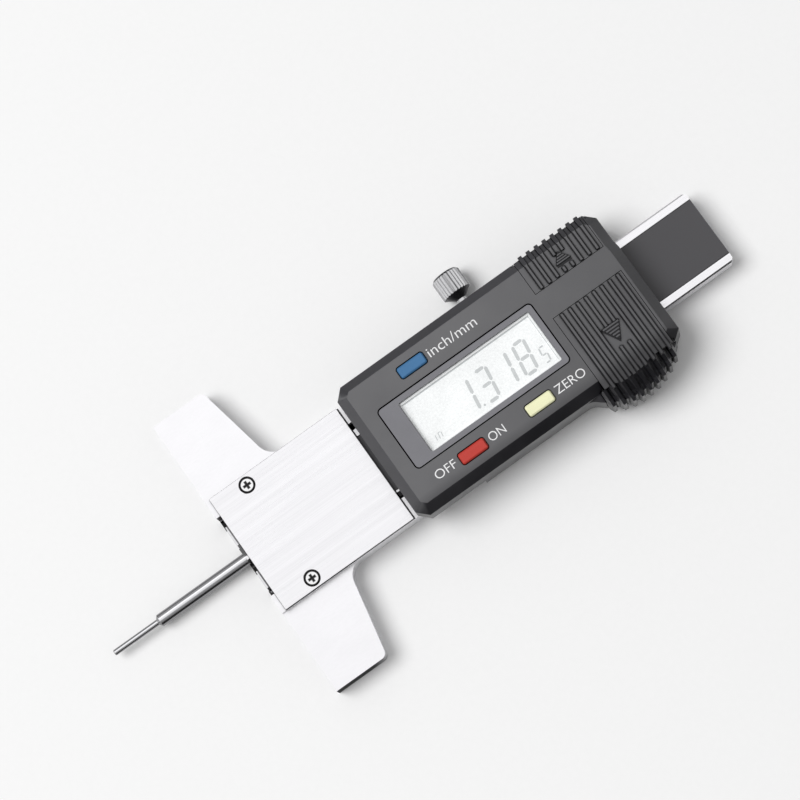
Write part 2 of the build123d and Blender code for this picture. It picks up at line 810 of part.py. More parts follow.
def data_port_cover():
    """Ribbed cover over the data port, sliding off towards +Y."""
    form = shell_form()
    inner = cavity_side + lid_gap
    outer = housing_side + past
    cover = Part() + (form & block(lid_start, lid_end, port_lid_y, outer, lid_z0, housing_top))
    skirt_z0 = shoulder_z - lid_skirt_depth + lid_gap
    cover += form & block(lid_start, lid_end, inner, outer, skirt_z0, housing_top)
    cover += lid_flanges(port_lid_y, inner)
    edge, crest = housing_side - bevel_width, housing_side + side_rib_height
    rib_top, rib_root = housing_top + rib_height, housing_top - root_depth
    inside = edge - side_rib_root
    side_rib = [
        (inside, rib_root), (inside, rib_top), (edge, rib_top), (crest, shoulder_z), (crest, skirt_z0),
        (housing_side - root_depth, skirt_z0), (housing_side - root_depth, shoulder_z - root_depth),
        (edge, rib_root),
    ]
    cover += [side_slab(rib_x(i), rib_width, side_rib) for i in range(rib_count)]
    return cover + top_ribs(port_lid_y + lid_gap, inside + near, port_arrow_y, port_arrow_length)


def display_bezel():
    """Grey frame round the window."""
    x = bezel_start + bezel_length / 2
    frame = round_block(x, 0, bezel_length, bezel_width, bezel_corner, bezel_z0, bezel_z1)
    return frame - round_block(
        window_centre_x, 0, window_length, window_width, window_corner, bezel_z0 - past, bezel_z1 + past
    )


def display_window():
    """Clear window inside the frame."""
    return round_block(
        window_centre_x, 0, window_length - 2 * window_gap, window_width - 2 * window_gap,
        window_corner - window_gap, bezel_z0, bezel_z1 - window_drop,
    )


def lcd_panel():
    """Liquid crystal panel under the window."""
    half, side = panel_length / 2, panel_width / 2
    return block(window_centre_x - half, window_centre_x + half, -side, side, panel_z0, panel_z1)


def lcd_connectors():
    """Two rubber strips that join the panel to the board."""
    half = connector_length / 2
    strips = []
    for side in (-1, 1):
        outer = side * (panel_width / 2 - connector_inset)
        low, high = sorted((outer - side * connector_width, outer))
        x0, x1 = window_centre_x - half, window_centre_x + half
        strips.append(block(x0, x1, low, high, board_z1, panel_z0))
    return Compound(strips)


def circuit_board():
    """Board on top of the frame, notched round the screw bosses."""
    side = stem_side - board_inset
    board = block(housing_start + board_setback, frame_end, -side, side, seat_z, board_z1)
    half = boss_width / 2 + boss_clearance
    z0, z1 = seat_z - past, board_z1 + past
    for x in housing_screw_x:
        for sign in (-1, 1):
            low, high = sorted((sign * (housing_screw_y - half), sign * (side + past)))
            board -= block(x - half, x + half, low, high, z0, z1)
    return board


def driver_chip():
    """Moulded blob over the bonded chip."""
    z1 = board_z1 + chip_thickness
    x, half = window_centre_x, chip_size / 2
    blob = block(x - half, x + half, -half, half, board_z1, z1)
    rim = [e for e in blob.edges() if e.center().Z > board_z1 + near]
    return chamfer(rim, chip_thickness / 2)


def switch_domes():
    """Rubber domes under the three buttons."""
    domes = []
    foot_r, top_r = dome_diameter / 2, dome_top_diameter / 2
    profile = [(0, board_z1), (foot_r, board_z1), (top_r, dome_z1), (0, dome_z1)]
    dome = revolve(Plane.XZ * outline_face(profile), Axis.Z)
    for x, y in button_places().values():
        domes.append(Pos(x, y, 0) * dome)
    return Compound(domes)


def button_places():
    """Centre of each button."""
    return {
        "unit_button": (left_button_x, button_row_y),
        "power_button": (left_button_x, -button_row_y),
        "zero_button": (right_button_x, -button_row_y),
    }


def push_button(x, y):
    """Button cap with a flange under the housing's top and a stem down to its dome."""
    flange_z0 = flange_z1 - button_flange_thickness
    cap = round_block(x, y, button_length, button_width, button_corner, flange_z0, button_top)
    rim = [e for e in cap.edges() if e.center().Z > button_top - near]
    cap = chamfer(rim, button_edge)
    long, wide = button_length / 2 + button_flange, button_width / 2 + button_flange
    cap += block(x - long, x + long, y - wide, y + wide, flange_z0, flange_z1)
    half, thin = button_stem_length / 2, button_stem_width / 2
    return cap + block(x - half, x + half, y - thin, y + thin, stem_z0, flange_z1)


def button_cell():
    """Coin cell: stepped can with a narrower negative cap below."""
    cell = post(cell_x, cell_y, cell_diameter, cell_z0 + cell_rim, cell_z1)
    return cell + post(cell_x, cell_y, cell_cap_diameter, cell_z0, cell_z0 + cell_rim)


def battery_negative_contact():
    """Flat contact on the board under the cell, with a tail to the side."""
    wide, half = negative_contact_width / 2, contact_width / 2
    pad = block(cell_x - wide, cell_x + wide, cell_y - wide, cell_y + wide, board_z1, contact_z1)
    y1 = cell_y + wide + contact_tail
    return pad + block(cell_x - half, cell_x + half, cell_y, y1, board_z1, contact_z1)


def battery_positive_contact():
    """Spring strip that stands beside the cell's can."""
    x0, x1 = positive_contact_span()
    half = contact_width / 2
    return block(x0, x1, cell_y - half, cell_y + half, board_z1, deck_top - contact_drop)


def positive_contact_span():
    """Front and back face of the spring strip, along the beam."""
    x1 = cell_x - cell_diameter / 2 - contact_gap
    return x1 - 2 * contact_thickness, x1


def data_port_pins():
    """Contacts that stand on the board in the data port."""
    pins = []
    first = cell_x - port_pin_pitch * (port_pin_count - 1) / 2
    half = port_pin_size / 2
    y0, y1 = port_centre_y - half, port_centre_y + half
    for i in range(port_pin_count):
        x = first + i * port_pin_pitch
        pins.append(block(x - half, x + half, y0, y1, board_z1, board_z1 + port_pin_height))
    return Compound(pins)


def pieces():
    """Every piece by its name."""
    made = {
        "base_foot": base_foot(),
        "cover_plate": cover_plate(),
        "cover_plate_screws": cover_plate_screws(),
        "gib_strip": gib_strip(),
        "gib_screws": gib_screws(),
        "stop_screw": stop_screw(),
        "front_housing": front_housing(),
        "housing_screws": housing_screws(),
        "display_bezel": display_bezel(),
        "display_window": display_window(),
        "lcd_panel": lcd_panel(),
        "lcd_connectors": lcd_connectors(),
        "circuit_board": circuit_board(),
        "driver_chip": driver_chip(),
        "switch_domes": switch_domes(),
        "button_cell": button_cell(),
        "battery_negative_contact": battery_negative_contact(),
        "battery_positive_contact": battery_positive_contact(),
        "data_port_pins": data_port_pins(),
        "lock_pad": lock_pad(),
        "lock_screw": lock_screw(),
        "beam": beam(),
        "scale_strip": scale_strip(),
        "probe_rod": probe_rod(),
        "probe_holder": probe_holder(),
        "holder_pin": holder_pin(),
        "battery_cover": battery_cover(),
        "data_port_cover": data_port_cover(),
    }
    for name, (x, y) in button_places().items():
        made[name] = push_button(x, y)
    return made


if __name__ == "__main__":
    os.makedirs("parts", exist_ok=True)
    for name, shape in pieces().items():
        export_step(shape, f"parts/{name}.step")
        print(name, len(shape.solids()), round(shape.volume, 1))
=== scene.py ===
"""Digital tread depth gauge on a pale table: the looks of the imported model.

model.glb gives every solid piece of the gauge in metres, in place. This file softens their
edges, adds what is printed or moulded too finely for the solids, and gives each its finish.
"""

import math

import bmesh
import bpy
from bpy.props import FloatProperty, FloatVectorProperty, PointerProperty
from bpy.types import NodeSocket, Operator, Panel, PropertyGroup
from mathutils import Matrix, Vector


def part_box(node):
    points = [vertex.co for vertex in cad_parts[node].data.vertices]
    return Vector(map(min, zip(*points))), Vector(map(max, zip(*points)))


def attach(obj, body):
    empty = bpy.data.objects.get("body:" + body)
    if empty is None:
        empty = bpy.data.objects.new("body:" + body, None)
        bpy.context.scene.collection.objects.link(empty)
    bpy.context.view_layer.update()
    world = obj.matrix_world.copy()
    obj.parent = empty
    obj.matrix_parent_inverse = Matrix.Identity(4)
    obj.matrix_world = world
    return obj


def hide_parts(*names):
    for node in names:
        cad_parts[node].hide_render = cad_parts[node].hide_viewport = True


bl_info = {
    "name": "Tread depth gauge",
    "version": (1, 0, 0),
    "blender": (4, 5, 0),
    "location": "View3D > Sidebar > Gauge",
    "description": "Dresses the digital tread depth gauge and sets its stage",
    "category": "Object",
}

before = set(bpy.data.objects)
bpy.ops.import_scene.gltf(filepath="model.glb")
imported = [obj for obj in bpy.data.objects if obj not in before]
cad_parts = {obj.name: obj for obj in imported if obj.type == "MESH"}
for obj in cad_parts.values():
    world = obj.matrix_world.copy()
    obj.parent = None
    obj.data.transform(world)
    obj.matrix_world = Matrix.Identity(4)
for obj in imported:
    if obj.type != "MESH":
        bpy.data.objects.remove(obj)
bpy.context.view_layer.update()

MM = 0.001
NOTHING = (0.0, 0.0, 0.0)

HOUSING_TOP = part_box("front_housing")[1].z
PANEL_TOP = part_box("lcd_panel")[1].z
PLATE_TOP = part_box("cover_plate")[1].z
COVER_RIBS_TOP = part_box("battery_cover")[1].z
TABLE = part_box("base_foot")[0].z
PLATE_SCREWS = ((8.4 * MM, 10.75 * MM), (8.4 * MM, -10.75 * MM))
LOCK_AXIS = (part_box("lock_screw")[0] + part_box("lock_screw")[1]) / 2
LOCK_HEAD_START = 17.9 * MM
LOCK_BOWL_START = 16.45 * MM
ARROWS_MIDDLE = 80.6 * MM

FRAME_BODY = "frame_and_housing"
BEAM_BODY = "beam_and_probe"

# How close points are made one: as a rule, and where short edges would limit the softening.
SAME_POINT = 0.0005 * MM
SHORT_EDGE = 0.05 * MM

# How far edges are softened where no setting says it.
FINE_EDGE = 0.04 * MM
HOLDER_EDGE = 0.08 * MM
WINDOW_EDGE = 0.05 * MM
BUTTON_EDGE = 0.2 * MM
KNURL_EDGE = 0.03 * MM
MOULDED_EDGE = 0.06 * MM

SKIN = 0.02 * MM
INK = 0.015 * MM
SHARP = 32.0
SHARP_EDGE = math.radians(SHARP)
FLAT_JOINT = math.radians(0.6)


# Sizes and colours


def length_property(name, description, millimetres):
    length = millimetres * MM
    return FloatProperty(name=name, description=description, default=length, unit="LENGTH")


def colour_property(name, description, default):
    limits = {"size": 3, "min": 0.0, "max": 1.0, "subtype": "COLOR"}
    return FloatVectorProperty(name=name, description=description, default=default, **limits)


class GaugeSizes(PropertyGroup):
    """Sizes of the softened edges, the display's digits and the printed words."""

    steel_edge: length_property("Steel edge", "Softening of the steel pieces' edges", 0.12)
    plastic_edge: length_property("Plastic edge", "Softening of the plastic pieces' edges", 0.1)
    rib_edge: length_property("Rib edge", "Softening of the covers' ribs and teeth", 0.2)
    digit_height: length_property("Digit height", "Between a digit's end bars", 6.2)
    digit_width: length_property("Digit width", "Between a digit's side bars", 2.45)
    digit_pitch: length_property("Digit pitch", "From one digit to the next", 4.33)
    digit_bar: length_property("Bar width", "Width of one bar of a digit", 0.66)
    digit_lean: FloatProperty(
        name="Lean",
        description="How far the digits lean",
        default=math.radians(8.0),
        subtype="ANGLE",
    )
    label_height: length_property("Label height", "Height of the printed capitals", 1.74)


class GaugeColours(PropertyGroup):
    """Colours of the plastics, the prints, the display and the two main steels."""

    housing: colour_property("Housing", "Dark grey moulded plastic", (0.019, 0.0185, 0.0235))
    bezel: colour_property("Bezel", "Grey frame of the display", (0.185, 0.184, 0.2))
    display: colour_property("Display", "Pale ground of the display", (0.985, 1.0, 1.0))
    digits: colour_property("Digits", "Grey of the display's digits", (0.58, 0.6, 0.605))
    unit_button: colour_property("Unit button", "Blue button", (0.05, 0.165, 0.34))
    power_button: colour_property("Power button", "Red button", (0.5, 0.042, 0.03))
    zero_button: colour_property("Zero button", "Pale yellow button", (0.87, 0.87, 0.57))
    print_white: colour_property("Prints", "White of the printed words", (0.84, 0.84, 0.85))
    film: colour_property("Film", "Dark film on the beam", (0.06, 0.0585, 0.063))
    satin: colour_property("Satin steel", "Foot and holder", (0.825, 0.82, 0.84))
    ground: colour_property("Ground steel", "Cover plate and beam", (0.785, 0.78, 0.8))


class GaugeStage(PropertyGroup):
    """The table, the light and the camera."""

    floor: colour_property("Table", "Pale table", (0.93, 0.93, 0.93))
    distance: FloatProperty(
        name="Distance", description="From the camera to the gauge", default=0.7, unit="LENGTH"
    )
    lens: FloatProperty(
        name="Lens", description="The camera's lens in millimetres", default=168.7, min=50.0
    )
    sky: FloatProperty(
        name="Sky", description="Strength of the light from all sides", default=0.42, min=0.0
    )
    key: FloatProperty(
        name="Key", description="Power of the large soft lamp in watts", default=42.0, min=0.0
    )


# Shared effects

NOISE_LOW, NOISE_HIGH = 0.3, 0.7


class Nodes:
    """A node tree under way. Whatever it is given as a value may be a socket or a plain value."""

    def __init__(self, tree):
        self.tree = tree

    def feed(self, socket, value):
        """Links a socket to another one, or gives it a plain value."""
        if isinstance(value, NodeSocket):
            self.tree.links.new(value, socket)
        else:
            socket.default_value = value

    def add(self, kind, settings=None, inputs=None):
        """A node with its settings and the values of its inputs."""
        node = self.tree.nodes.new("ShaderNode" + kind)
        for key, value in (settings or {}).items():
            setattr(node, key, value)
        for key, value in (inputs or {}).items():
            self.feed(node.inputs[key], value)
        return node

    def remap(self, source, low, high, to_low, to_high):
        """source from low..high to to_low..to_high."""
        ends = {"From Min": low, "From Max": high, "To Min": to_low, "To Max": to_high}
        return self.add("MapRange", inputs={"Value": source, **ends}).outputs["Result"]

    def noise(self, vector, scale, detail, roughness):
        inputs = {"Vector": vector, "Scale": scale, "Detail": detail, "Roughness": roughness}
        return self.add("TexNoise", inputs=inputs).outputs["Fac"]

    def spread(self, noise, low, high):
        """The usual range of a noise drawn out to low..high."""
        return self.remap(noise, NOISE_LOW, NOISE_HIGH, low, high)

    def maths(self, operation, first, *others):
        """first with each of the others in turn, by one operation."""
        for other in others or (0.0,):
            first = self.add("Math", {"operation": operation}, {0: first, 1: other}).outputs[0]
        return first

    def total(self, *values):
        return self.maths("ADD", *values)

    def difference(self, first, second):
        return self.maths("SUBTRACT", first, second)

    def product(self, *values):
        return self.maths("MULTIPLY", *values)

    def largest(self, *values):
        return self.maths("MAXIMUM", *values)

    def smallest(self, *values):
        return self.maths("MINIMUM", *values)

    def unsigned(self, value):
        return self.maths("ABSOLUTE", value)

    def vectors(self, operation, first, second=NOTHING, result="Vector"):
        node = self.add("VectorMath", {"operation": operation}, {0: first, 1: second})
        return node.outputs[result]

    def split(self, vector):
        """The X, Y and Z of a vector."""
        return tuple(self.add("SeparateXYZ", inputs={0: vector}).outputs)

    def ramp(self, place, stops):
        """A grey by place, from stops that are each a place from 0 to 1 and a grey."""
        node = self.add("ValToRGB")
        elements = node.color_ramp.elements
        while len(elements) < len(stops):
            elements.new(0.5)
        for element, (position, grey) in zip(elements, stops):
            element.position = position
            element.color = (grey, grey, grey, 1.0)
        self.feed(node.inputs["Fac"], place)
        return node.outputs["Color"]


FLOAT, VECTOR = "NodeSocketFloat", "NodeSocketVector"


def effect_group(name, inputs, results):
    """An empty effect, read at a vector: its nodes, what goes in and what comes out."""
    group = bpy.data.node_groups.new(name, "ShaderNodeTree")
    for socket, kind in {"Vector": VECTOR, **inputs}.items():
        group.interface.new_socket(name=socket, in_out="INPUT", socket_type=kind)
    for socket in results:
        group.interface.new_socket(name=socket, in_out="OUTPUT", socket_type=FLOAT)
    start, end = group.nodes.new("NodeGroupInput"), group.nodes.new("NodeGroupOutput")
    return Nodes(group), start.outputs, end.inputs


def make_brushed_lines():
    """Fine lines drawn out in one direction, as an abrasive belt leaves them."""
    nodes, given, results = effect_group(
        "brushed_lines",
        {"Direction Scale": VECTOR, "Contrast": FLOAT},
        ("Tone", "Roughness", "Height"),
    )
    stretched = nodes.vectors("MULTIPLY", given["Vector"], given["Direction Scale"])
    lines = nodes.noise(stretched, 1.0, 5.0, 0.7)
    broad = nodes.noise(stretched, 0.13, 2.0, 0.5)
    mixed = nodes.total(nodes.product(lines, 0.7), nodes.product(broad, 0.3))
    darkest = nodes.difference(1.0, given["Contrast"])
    lightest = nodes.total(1.0, given["Contrast"])
    nodes.feed(results["Tone"], nodes.spread(mixed, darkest, lightest))
    nodes.feed(results["Roughness"], nodes.spread(lines, -0.07, 0.07))
    nodes.feed(results["Height"], lines)
    return nodes.tree


def make_moulded_grain():
    """The fine spark-eroded texture of a plastic mould, with a trace of flow marks."""
    nodes, given, results = effect_group(
        "moulded_grain", {"Grain Scale": FLOAT}, ("Tone", "Roughness", "Height")
    )
    fine = nodes.noise(given["Vector"], given["Grain Scale"], 3.0, 0.6)
    flow = nodes.noise(given["Vector"], 170.0, 3.0, 0.5)
    grain = nodes.remap(fine, 0.35, 0.65, -0.06, 0.06)
    nodes.feed(results["Tone"], nodes.total(grain, nodes.spread(flow, 0.95, 1.05)))
    nodes.feed(results["Roughness"], nodes.spread(flow, -0.05, 0.05))
    nodes.feed(results["Height"], fine)
    return nodes.tree


def make_handling_marks():
    """Faint finger smudges that only change how a surface shines."""
    nodes, given, results = effect_group(
        "handling_marks", {"Amount": FLOAT}, ("Roughness",)
    )
    patches = nodes.remap(nodes.noise(given["Vector"], 95.0, 4.0, 0.6), 0.48, 0.62, 0.0, 1.0)
    nodes.feed(results["Roughness"], nodes.product(patches, given["Amount"]))
    return nodes.tree


EFFECT_MAKERS = {
    "brushed_lines": make_brushed_lines,
    "moulded_grain": make_moulded_grain,
    "handling_marks": make_handling_marks,
}
EFFECTS = {}


# Finishes


class Finish(Nodes):
    """A material under way, with its shader's inputs and the position its effects are read at."""

    def __init__(self, name, roughness, metallic=0.0):
        self.material = bpy.data.materials.new(name)
        self.material.use_nodes = True
        super().__init__(self.material.node_tree)
        self.shader = self.tree.nodes["Principled BSDF"].inputs
        self.roughness = roughness
        self.set(Roughness=roughness, Metallic=metallic)
        self.position = self.add("TexCoord").outputs["Object"]

    def set(self, **values):
        """Feeds inputs of the shader, named with _ in place of each space."""
        for key, value in values.items():
            self.feed(self.shader[key.replace("_", " ")], value)

    def effect(self, name, values):
        """The results of a shared effect with its own values."""
        if name not in EFFECTS:
            EFFECTS[name] = EFFECT_MAKERS[name]()
        inputs = {"Vector": self.position, **values}
        return self.add("Group", {"node_tree": EFFECTS[name]}, inputs).outputs

    def tinted(self, colour, tone):
        """Base colour as colour times tone."""
        mixing = {"data_type": "RGBA", "blend_type": "MULTIPLY"}
        mixed = self.add("Mix", mixing, {"Factor": 1.0, "A": (*colour, 1.0), "B": tone})
        self.set(Base_Color=mixed.outputs["Result"])

    def textured(self, texture, depth, marks=0.0):
        """Roughness and relief from an effect's results, with finger marks if asked for."""
        offsets = [texture["Roughness"]]
        if marks:
            offsets.append(self.effect("handling_marks", {"Amount": marks})["Roughness"])
        self.set(Roughness=self.total(self.roughness, *offsets))
        relief = {"Strength": 1.0, "Distance": depth * MM, "Height": texture["Height"]}
        self.set(Normal=self.add("Bump", inputs=relief).outputs["Normal"])

    def shaded_corners(self, tone, reach):
        """Painted shade: a tone that falls to black in hollows and gaps up to reach, and the shine
        with it.

        Both also fall a little: painted shade on the near shoulder, and a painted fall of the
        light towards the thumb's end.
        """
        corners = self.add("AmbientOcclusion", {"samples": 8}, {"Distance": reach * MM})
        in_the_open = self.remap(corners.outputs["AO"], 0.6, 0.92, 0.0, 1.0)
        x, y, z = self.split(self.position)
        # Painted shade on the near shoulder and a painted fall of light towards the thumb's end.
        painted_light_falloff = self.remap(self.difference(x, y), 45.0 * MM, 95.0 * MM, 1.0, 0.74)
        near_side = self.remap(y, -13.4 * MM, -11.0 * MM, 0.6, 1.0)
        wall = self.remap(z, 7.6 * MM, 8.0 * MM, 1.0, 0.0)
        lit = self.product(in_the_open, painted_light_falloff, self.largest(near_side, wall))
        shine = self.shader["Specular IOR Level"].default_value
        self.set(Specular_IOR_Level=self.product(lit, shine))
        return self.product(lit, tone)


def brushed_steel(name, colour, roughness, lines, contrast, depth):
    """Steel with lines drawn out in one direction. lines is how close they lie along each axis."""
    finish = Finish(name, roughness, 1.0)
    brushed = finish.effect("brushed_lines", {"Direction Scale": lines, "Contrast": contrast})
    tone = brushed["Tone"]
    finish.tinted(colour, mouth_shaded(finish, tone) if name in IN_THE_MOUTH else tone)
    finish.textured(brushed, depth, marks=0.03)
    return finish


# The steels with pieces in the channel's mouth, and the painted shade on these from -Y to +Y:
# a place in millimetres and a tone, where 1 stays unshaded, as where the probe's highlight
# carries on.
IN_THE_MOUTH = ("satin_steel", "beam_steel")
MOUTH_HALF = 10.0
MOUTH_PAINTED_SHADE = (
    (-8.4, 1.0), (-8.32, 0.05), (-7.25, 0.06), (-7.2, 0.22), (-3.35, 0.2), (-3.3, 0.02),
    (-1.95, 0.03), (-1.85, 0.12), (-1.4, 0.03), (-0.68, 0.03), (-0.62, 1.0), (0.0, 1.0),
    (0.06, 0.15), (0.78, 0.15), (0.82, 0.14), (2.62, 0.14), (2.7, 0.3), (6.7, 0.24),
    (6.78, 0.02), (9.0, 0.02), (9.1, 1.0),
)


def mouth_shaded(finish, tone):
    """Painted shade on what stands in the channel's mouth, under the plate.

    The lighter cells stay lit along a thin lip at the front: painted light.
    """
    x, y, z = finish.split(finish.position)
    across = finish.remap(y, -MOUTH_HALF * MM, MOUTH_HALF * MM, 0.0, 1.0)
    stops = [((place + MOUTH_HALF) / (2 * MOUTH_HALF), grey) for place, grey in MOUTH_PAINTED_SHADE]
    shade = finish.ramp(across, stops)
    past_mouth = finish.remap(x, 1.1 * MM, 1.2 * MM, 0.0, 1.0)
    # Painted light: a thin lip at the front of the lighter cells stays bright.
    lip = finish.product(
        finish.remap(shade, 0.16, 0.2, 0.0, 0.9), finish.remap(x, 0.62 * MM, 0.72 * MM, 1.0, 0.0)
    )
    return finish.product(finish.largest(shade, past_mouth, lip), plate_shade_lines(finish, x, y, z), tone)


def off(finish, coordinate, middle, half, step, value, gap=0.0):
    """value within half of a middle, rising to 1 over a step that starts a gap further out."""
    offset = finish.unsigned(finish.difference(coordinate, middle))
    return finish.remap(offset, half + gap, half + gap + step, value, 1.0)


def plate_shade_lines(finish, x, y, z):
    """A tone of painted shade: dark lines round the cover plate, notches beside the housing."""
    low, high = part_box("cover_plate")
    middle, half = (low.x + high.x) / 2, (high.x - low.x) / 2
    beside, rim, thin = 0.12 * MM, 0.14 * MM, 0.1 * MM
    round_plate = finish.largest(
        off(finish, x, middle, half, rim, 0.6, beside),
        off(finish, y, 0.0, high.y, rim, 0.6, beside),
    )
    near_edge = finish.largest(
        off(finish, x, middle, half, thin, 0.0),
        off(finish, y, low.y - 0.11 * MM, thin, 0.06 * MM, 0.12),
    )
    end_edge = off(finish, x, high.x + beside, thin, 0.08 * MM, 0.08)
    on_walls = finish.remap(z, 2.5 * MM, 2.56 * MM, 1.0, 0.0)
    lines = finish.largest(finish.product(round_plate, near_edge, end_edge), on_walls)
    notches = finish.largest(
        finish.smallest(
            off(finish, y, 8.55 * MM, 0.6 * MM, 0.08 * MM, 0.03),
            off(finish, y, -7.45 * MM, 0.68 * MM, 0.08 * MM, 0.03),
        ),
        off(finish, x, 30.7 * MM, 0.95 * MM, thin, 0.0),
    )
    return finish.product(lines, notches)


def cover_screw_steel():
    """Bright steel of the plate's screws, dark at the rim of each head and along its cross.

    Both dark marks are painted shade.
    """
    finish = Finish("cover_screw_steel", 0.25, 1.0)
    lines = {"Direction Scale": (3000.0, 3000.0, 500.0), "Contrast": 0.06}
    turned = finish.effect("brushed_lines", lines)
    folded = finish.vectors("ABSOLUTE", finish.position)
    level = finish.vectors("MULTIPLY", folded, (1.0, 1.0, 0.0))
    axis = (*PLATE_SCREWS[0], 0.0)
    reach = finish.vectors("DISTANCE", level, axis, "Value")
    # Painted shade round the rim of each head, and along its cross below.
    rim = finish.remap(reach, 1.12 * MM, 1.22 * MM, 1.0, 0.03)
    x, y, _ = finish.split(finish.vectors("SUBTRACT", level, axis))
    x, y = finish.unsigned(x), finish.unsigned(y)
    off_cross = finish.largest(
        finish.remap(finish.smallest(x, y), 0.24 * MM, 0.34 * MM, 0.0, 1.0),
        finish.remap(finish.largest(x, y), 0.78 * MM, 0.88 * MM, 0.0, 1.0),
    )
    cross = finish.remap(off_cross, 0.0, 1.0, 0.2, 1.0)
    finish.tinted((0.8, 0.8, 0.81), finish.product(rim, cross, turned["Tone"]))
    finish.textured(turned, 0.001)
    return finish


def moulded_plastic(name, colour, roughness, grain, depth, shine=0.5, painted_shade=0.0, ior=1.5):
    """Plastic with the texture of its mould.

    Its corners take painted shade up to the reach given, when one is.
    """
    finish = Finish(name, roughness)
    finish.set(Specular_IOR_Level=shine, IOR=ior)
    moulded = finish.effect("moulded_grain", {"Grain Scale": grain})
    tone = moulded["Tone"]
    finish.tinted(colour, finish.shaded_corners(tone, painted_shade) if painted_shade else tone)
    finish.textured(moulded, depth, marks=0.05)
    return finish


def scale_film(colour):
    """The beam's dark film, darker along its two long edges."""
    finish = Finish("scale_film", 0.5)
    moulded = finish.effect("moulded_grain", {"Grain Scale": 12000.0})
    aside = finish.unsigned(finish.split(finish.position)[1])
    border = finish.remap(aside, 6.12 * MM, 6.22 * MM, 1.0, 0.15)
    finish.tinted(colour, finish.product(border, moulded["Tone"]))
    finish.textured(moulded, 0.0015)
    return finish


def clear_plate():
    """The window: it shows the display and a little of the room's light."""
    finish = Finish("clear_window", 0.06)
    smudges = finish.effect("handling_marks", {"Amount": 0.05})["Roughness"]
    finish.set(Roughness=finish.total(finish.roughness, smudges))
    finish.set(Base_Color=(0.95, 0.97, 0.975, 1.0), Alpha=0.05, IOR=1.49)
    return finish


# Each steel's colour or the name of its colour setting, roughness, closeness of its lines along
# each axis, contrast of the lines and their depth in millimetres.
ALONG = (45.0, 9000.0, 9000.0)
ACROSS = (4000.0, 500.0, 4000.0)
UPRIGHT = (2500.0, 2500.0, 600.0)
STEELS = {
    "satin_steel": ("satin", 0.34, (900.0, 2500.0, 2500.0), 0.035, 0.002),
    "ground_steel": ("ground", 0.3, ALONG, 0.1, 0.004),
    "beam_steel": ("ground", 0.3, ALONG, 0.1, 0.004),
    "knob_steel": ((0.52, 0.52, 0.53), 0.3, ACROSS, 0.2, 0.003),
    # Painted shade for the knurls' bottoms and the bowl under the thumb screw's head.
    "knurl_shade_steel": ((0.1, 0.1, 0.105), 0.4, UPRIGHT, 0.1, 0.003),
    "edge_steel": ((0.06, 0.058, 0.06), 0.45, UPRIGHT, 0.1, 0.003),
    "shaded_steel": ((0.042, 0.041, 0.043), 0.55, UPRIGHT, 0.1, 0.003),
    "polished_steel": ((0.7, 0.7, 0.72), 0.16, (5000.0, 300.0, 300.0), 0.03, 0.0005),
    "screw_steel": ((0.6, 0.6, 0.61), 0.27, ACROSS, 0.08, 0.002),
    "dark_screws": ((0.05, 0.05, 0.055), 0.42, (2500.0, 2500.0, 400.0), 0.15, 0.002),
    "cell_steel": ((0.72, 0.72, 0.73), 0.24, (1800.0, 1800.0, 300.0), 0.04, 0.001),
    "brass_parts": ((0.72, 0.52, 0.24), 0.32, (1500.0, 1500.0, 1500.0), 0.08, 0.002),
}

# Each plastic's colour or the name of its colour setting, roughness, closeness of the grain and
# its depth in millimetres, then its shine, the reach of its corners' painted shade and its index.
# rib_shade is the housing's plastic darkened as painted shade.
PLASTICS = {
    "housing_plastic": ("housing", 0.38, 9000.0, 0.004, 1.0, 0.55, 1.68),
    "rib_shade": ((0.014, 0.0138, 0.0155), 0.5, 9000.0, 0.003, 0.35),
    "bezel_plastic": ("bezel", 0.36, 14000.0, 0.002),
    "soft_rubber": ((0.5, 0.46, 0.44), 0.7, 5000.0, 0.006),
    "board_laminate": ((0.035, 0.15, 0.07), 0.38, 3000.0, 0.003),
    "chip_resin": ((0.02, 0.02, 0.021), 0.3, 6000.0, 0.002),
    "blue_plastic": ("unit_button", 0.4, 7000.0, 0.002),
    "red_plastic": ("power_button", 0.4, 7000.0, 0.002),
    "yellow_plastic": ("zero_button", 0.4, 7000.0, 0.002),
    "lcd_glass": ("display", 0.3, 2500.0, 0.0005),
    "print_white": ("print_white", 0.5, 8000.0, 0.001),
    "display_digits": ("digits", 0.4, 4000.0, 0.0005),
}


def make_finishes(colours):
    """Every finish by its name: one for each slot, and the looks that some pieces wear instead."""
    finishes = {
        "cover_screw_steel": cover_screw_steel(),
        "scale_film": scale_film(colours.film),
        "clear_window": clear_plate(),
    }
    for table, maker in ((STEELS, brushed_steel), (PLASTICS, moulded_plastic)):
        for name, (colour, *rest) in table.items():
            if isinstance(colour, str):
                colour = getattr(colours, colour)
            finishes[name] = maker(name, colour, *rest)
    return {name: finish.material for name, finish in finishes.items()}


FINISHES = {}


def finish_of(name):
    """A finish by its name, made with all the others the first time one is asked for."""
    if not FINISHES:
        FINISHES.update(make_finishes(bpy.context.scene.gauge_colours))
    return FINISHES[name]


# Modelling helpers


def deselect():
    """Leaves edit mode with nothing selected."""
    if bpy.context.mode != "OBJECT":
        bpy.ops.object.mode_set(mode="OBJECT")
    bpy.ops.object.select_all(action="DESELECT")


def pick(piece):
    """Selects one piece and makes it active."""
    deselect()
    piece.select_set(True)
    bpy.context.view_layer.objects.active = piece


def started(add, **settings):
    """The new piece that an operator adds at the origin."""
    deselect()
    add(location=NOTHING, **settings)
    return bpy.context.active_object


def bake_place(piece):
    """Puts the piece's place, turn and size into its mesh."""
    pick(piece)
    bpy.ops.object.transform_apply(location=True, rotation=True, scale=True)


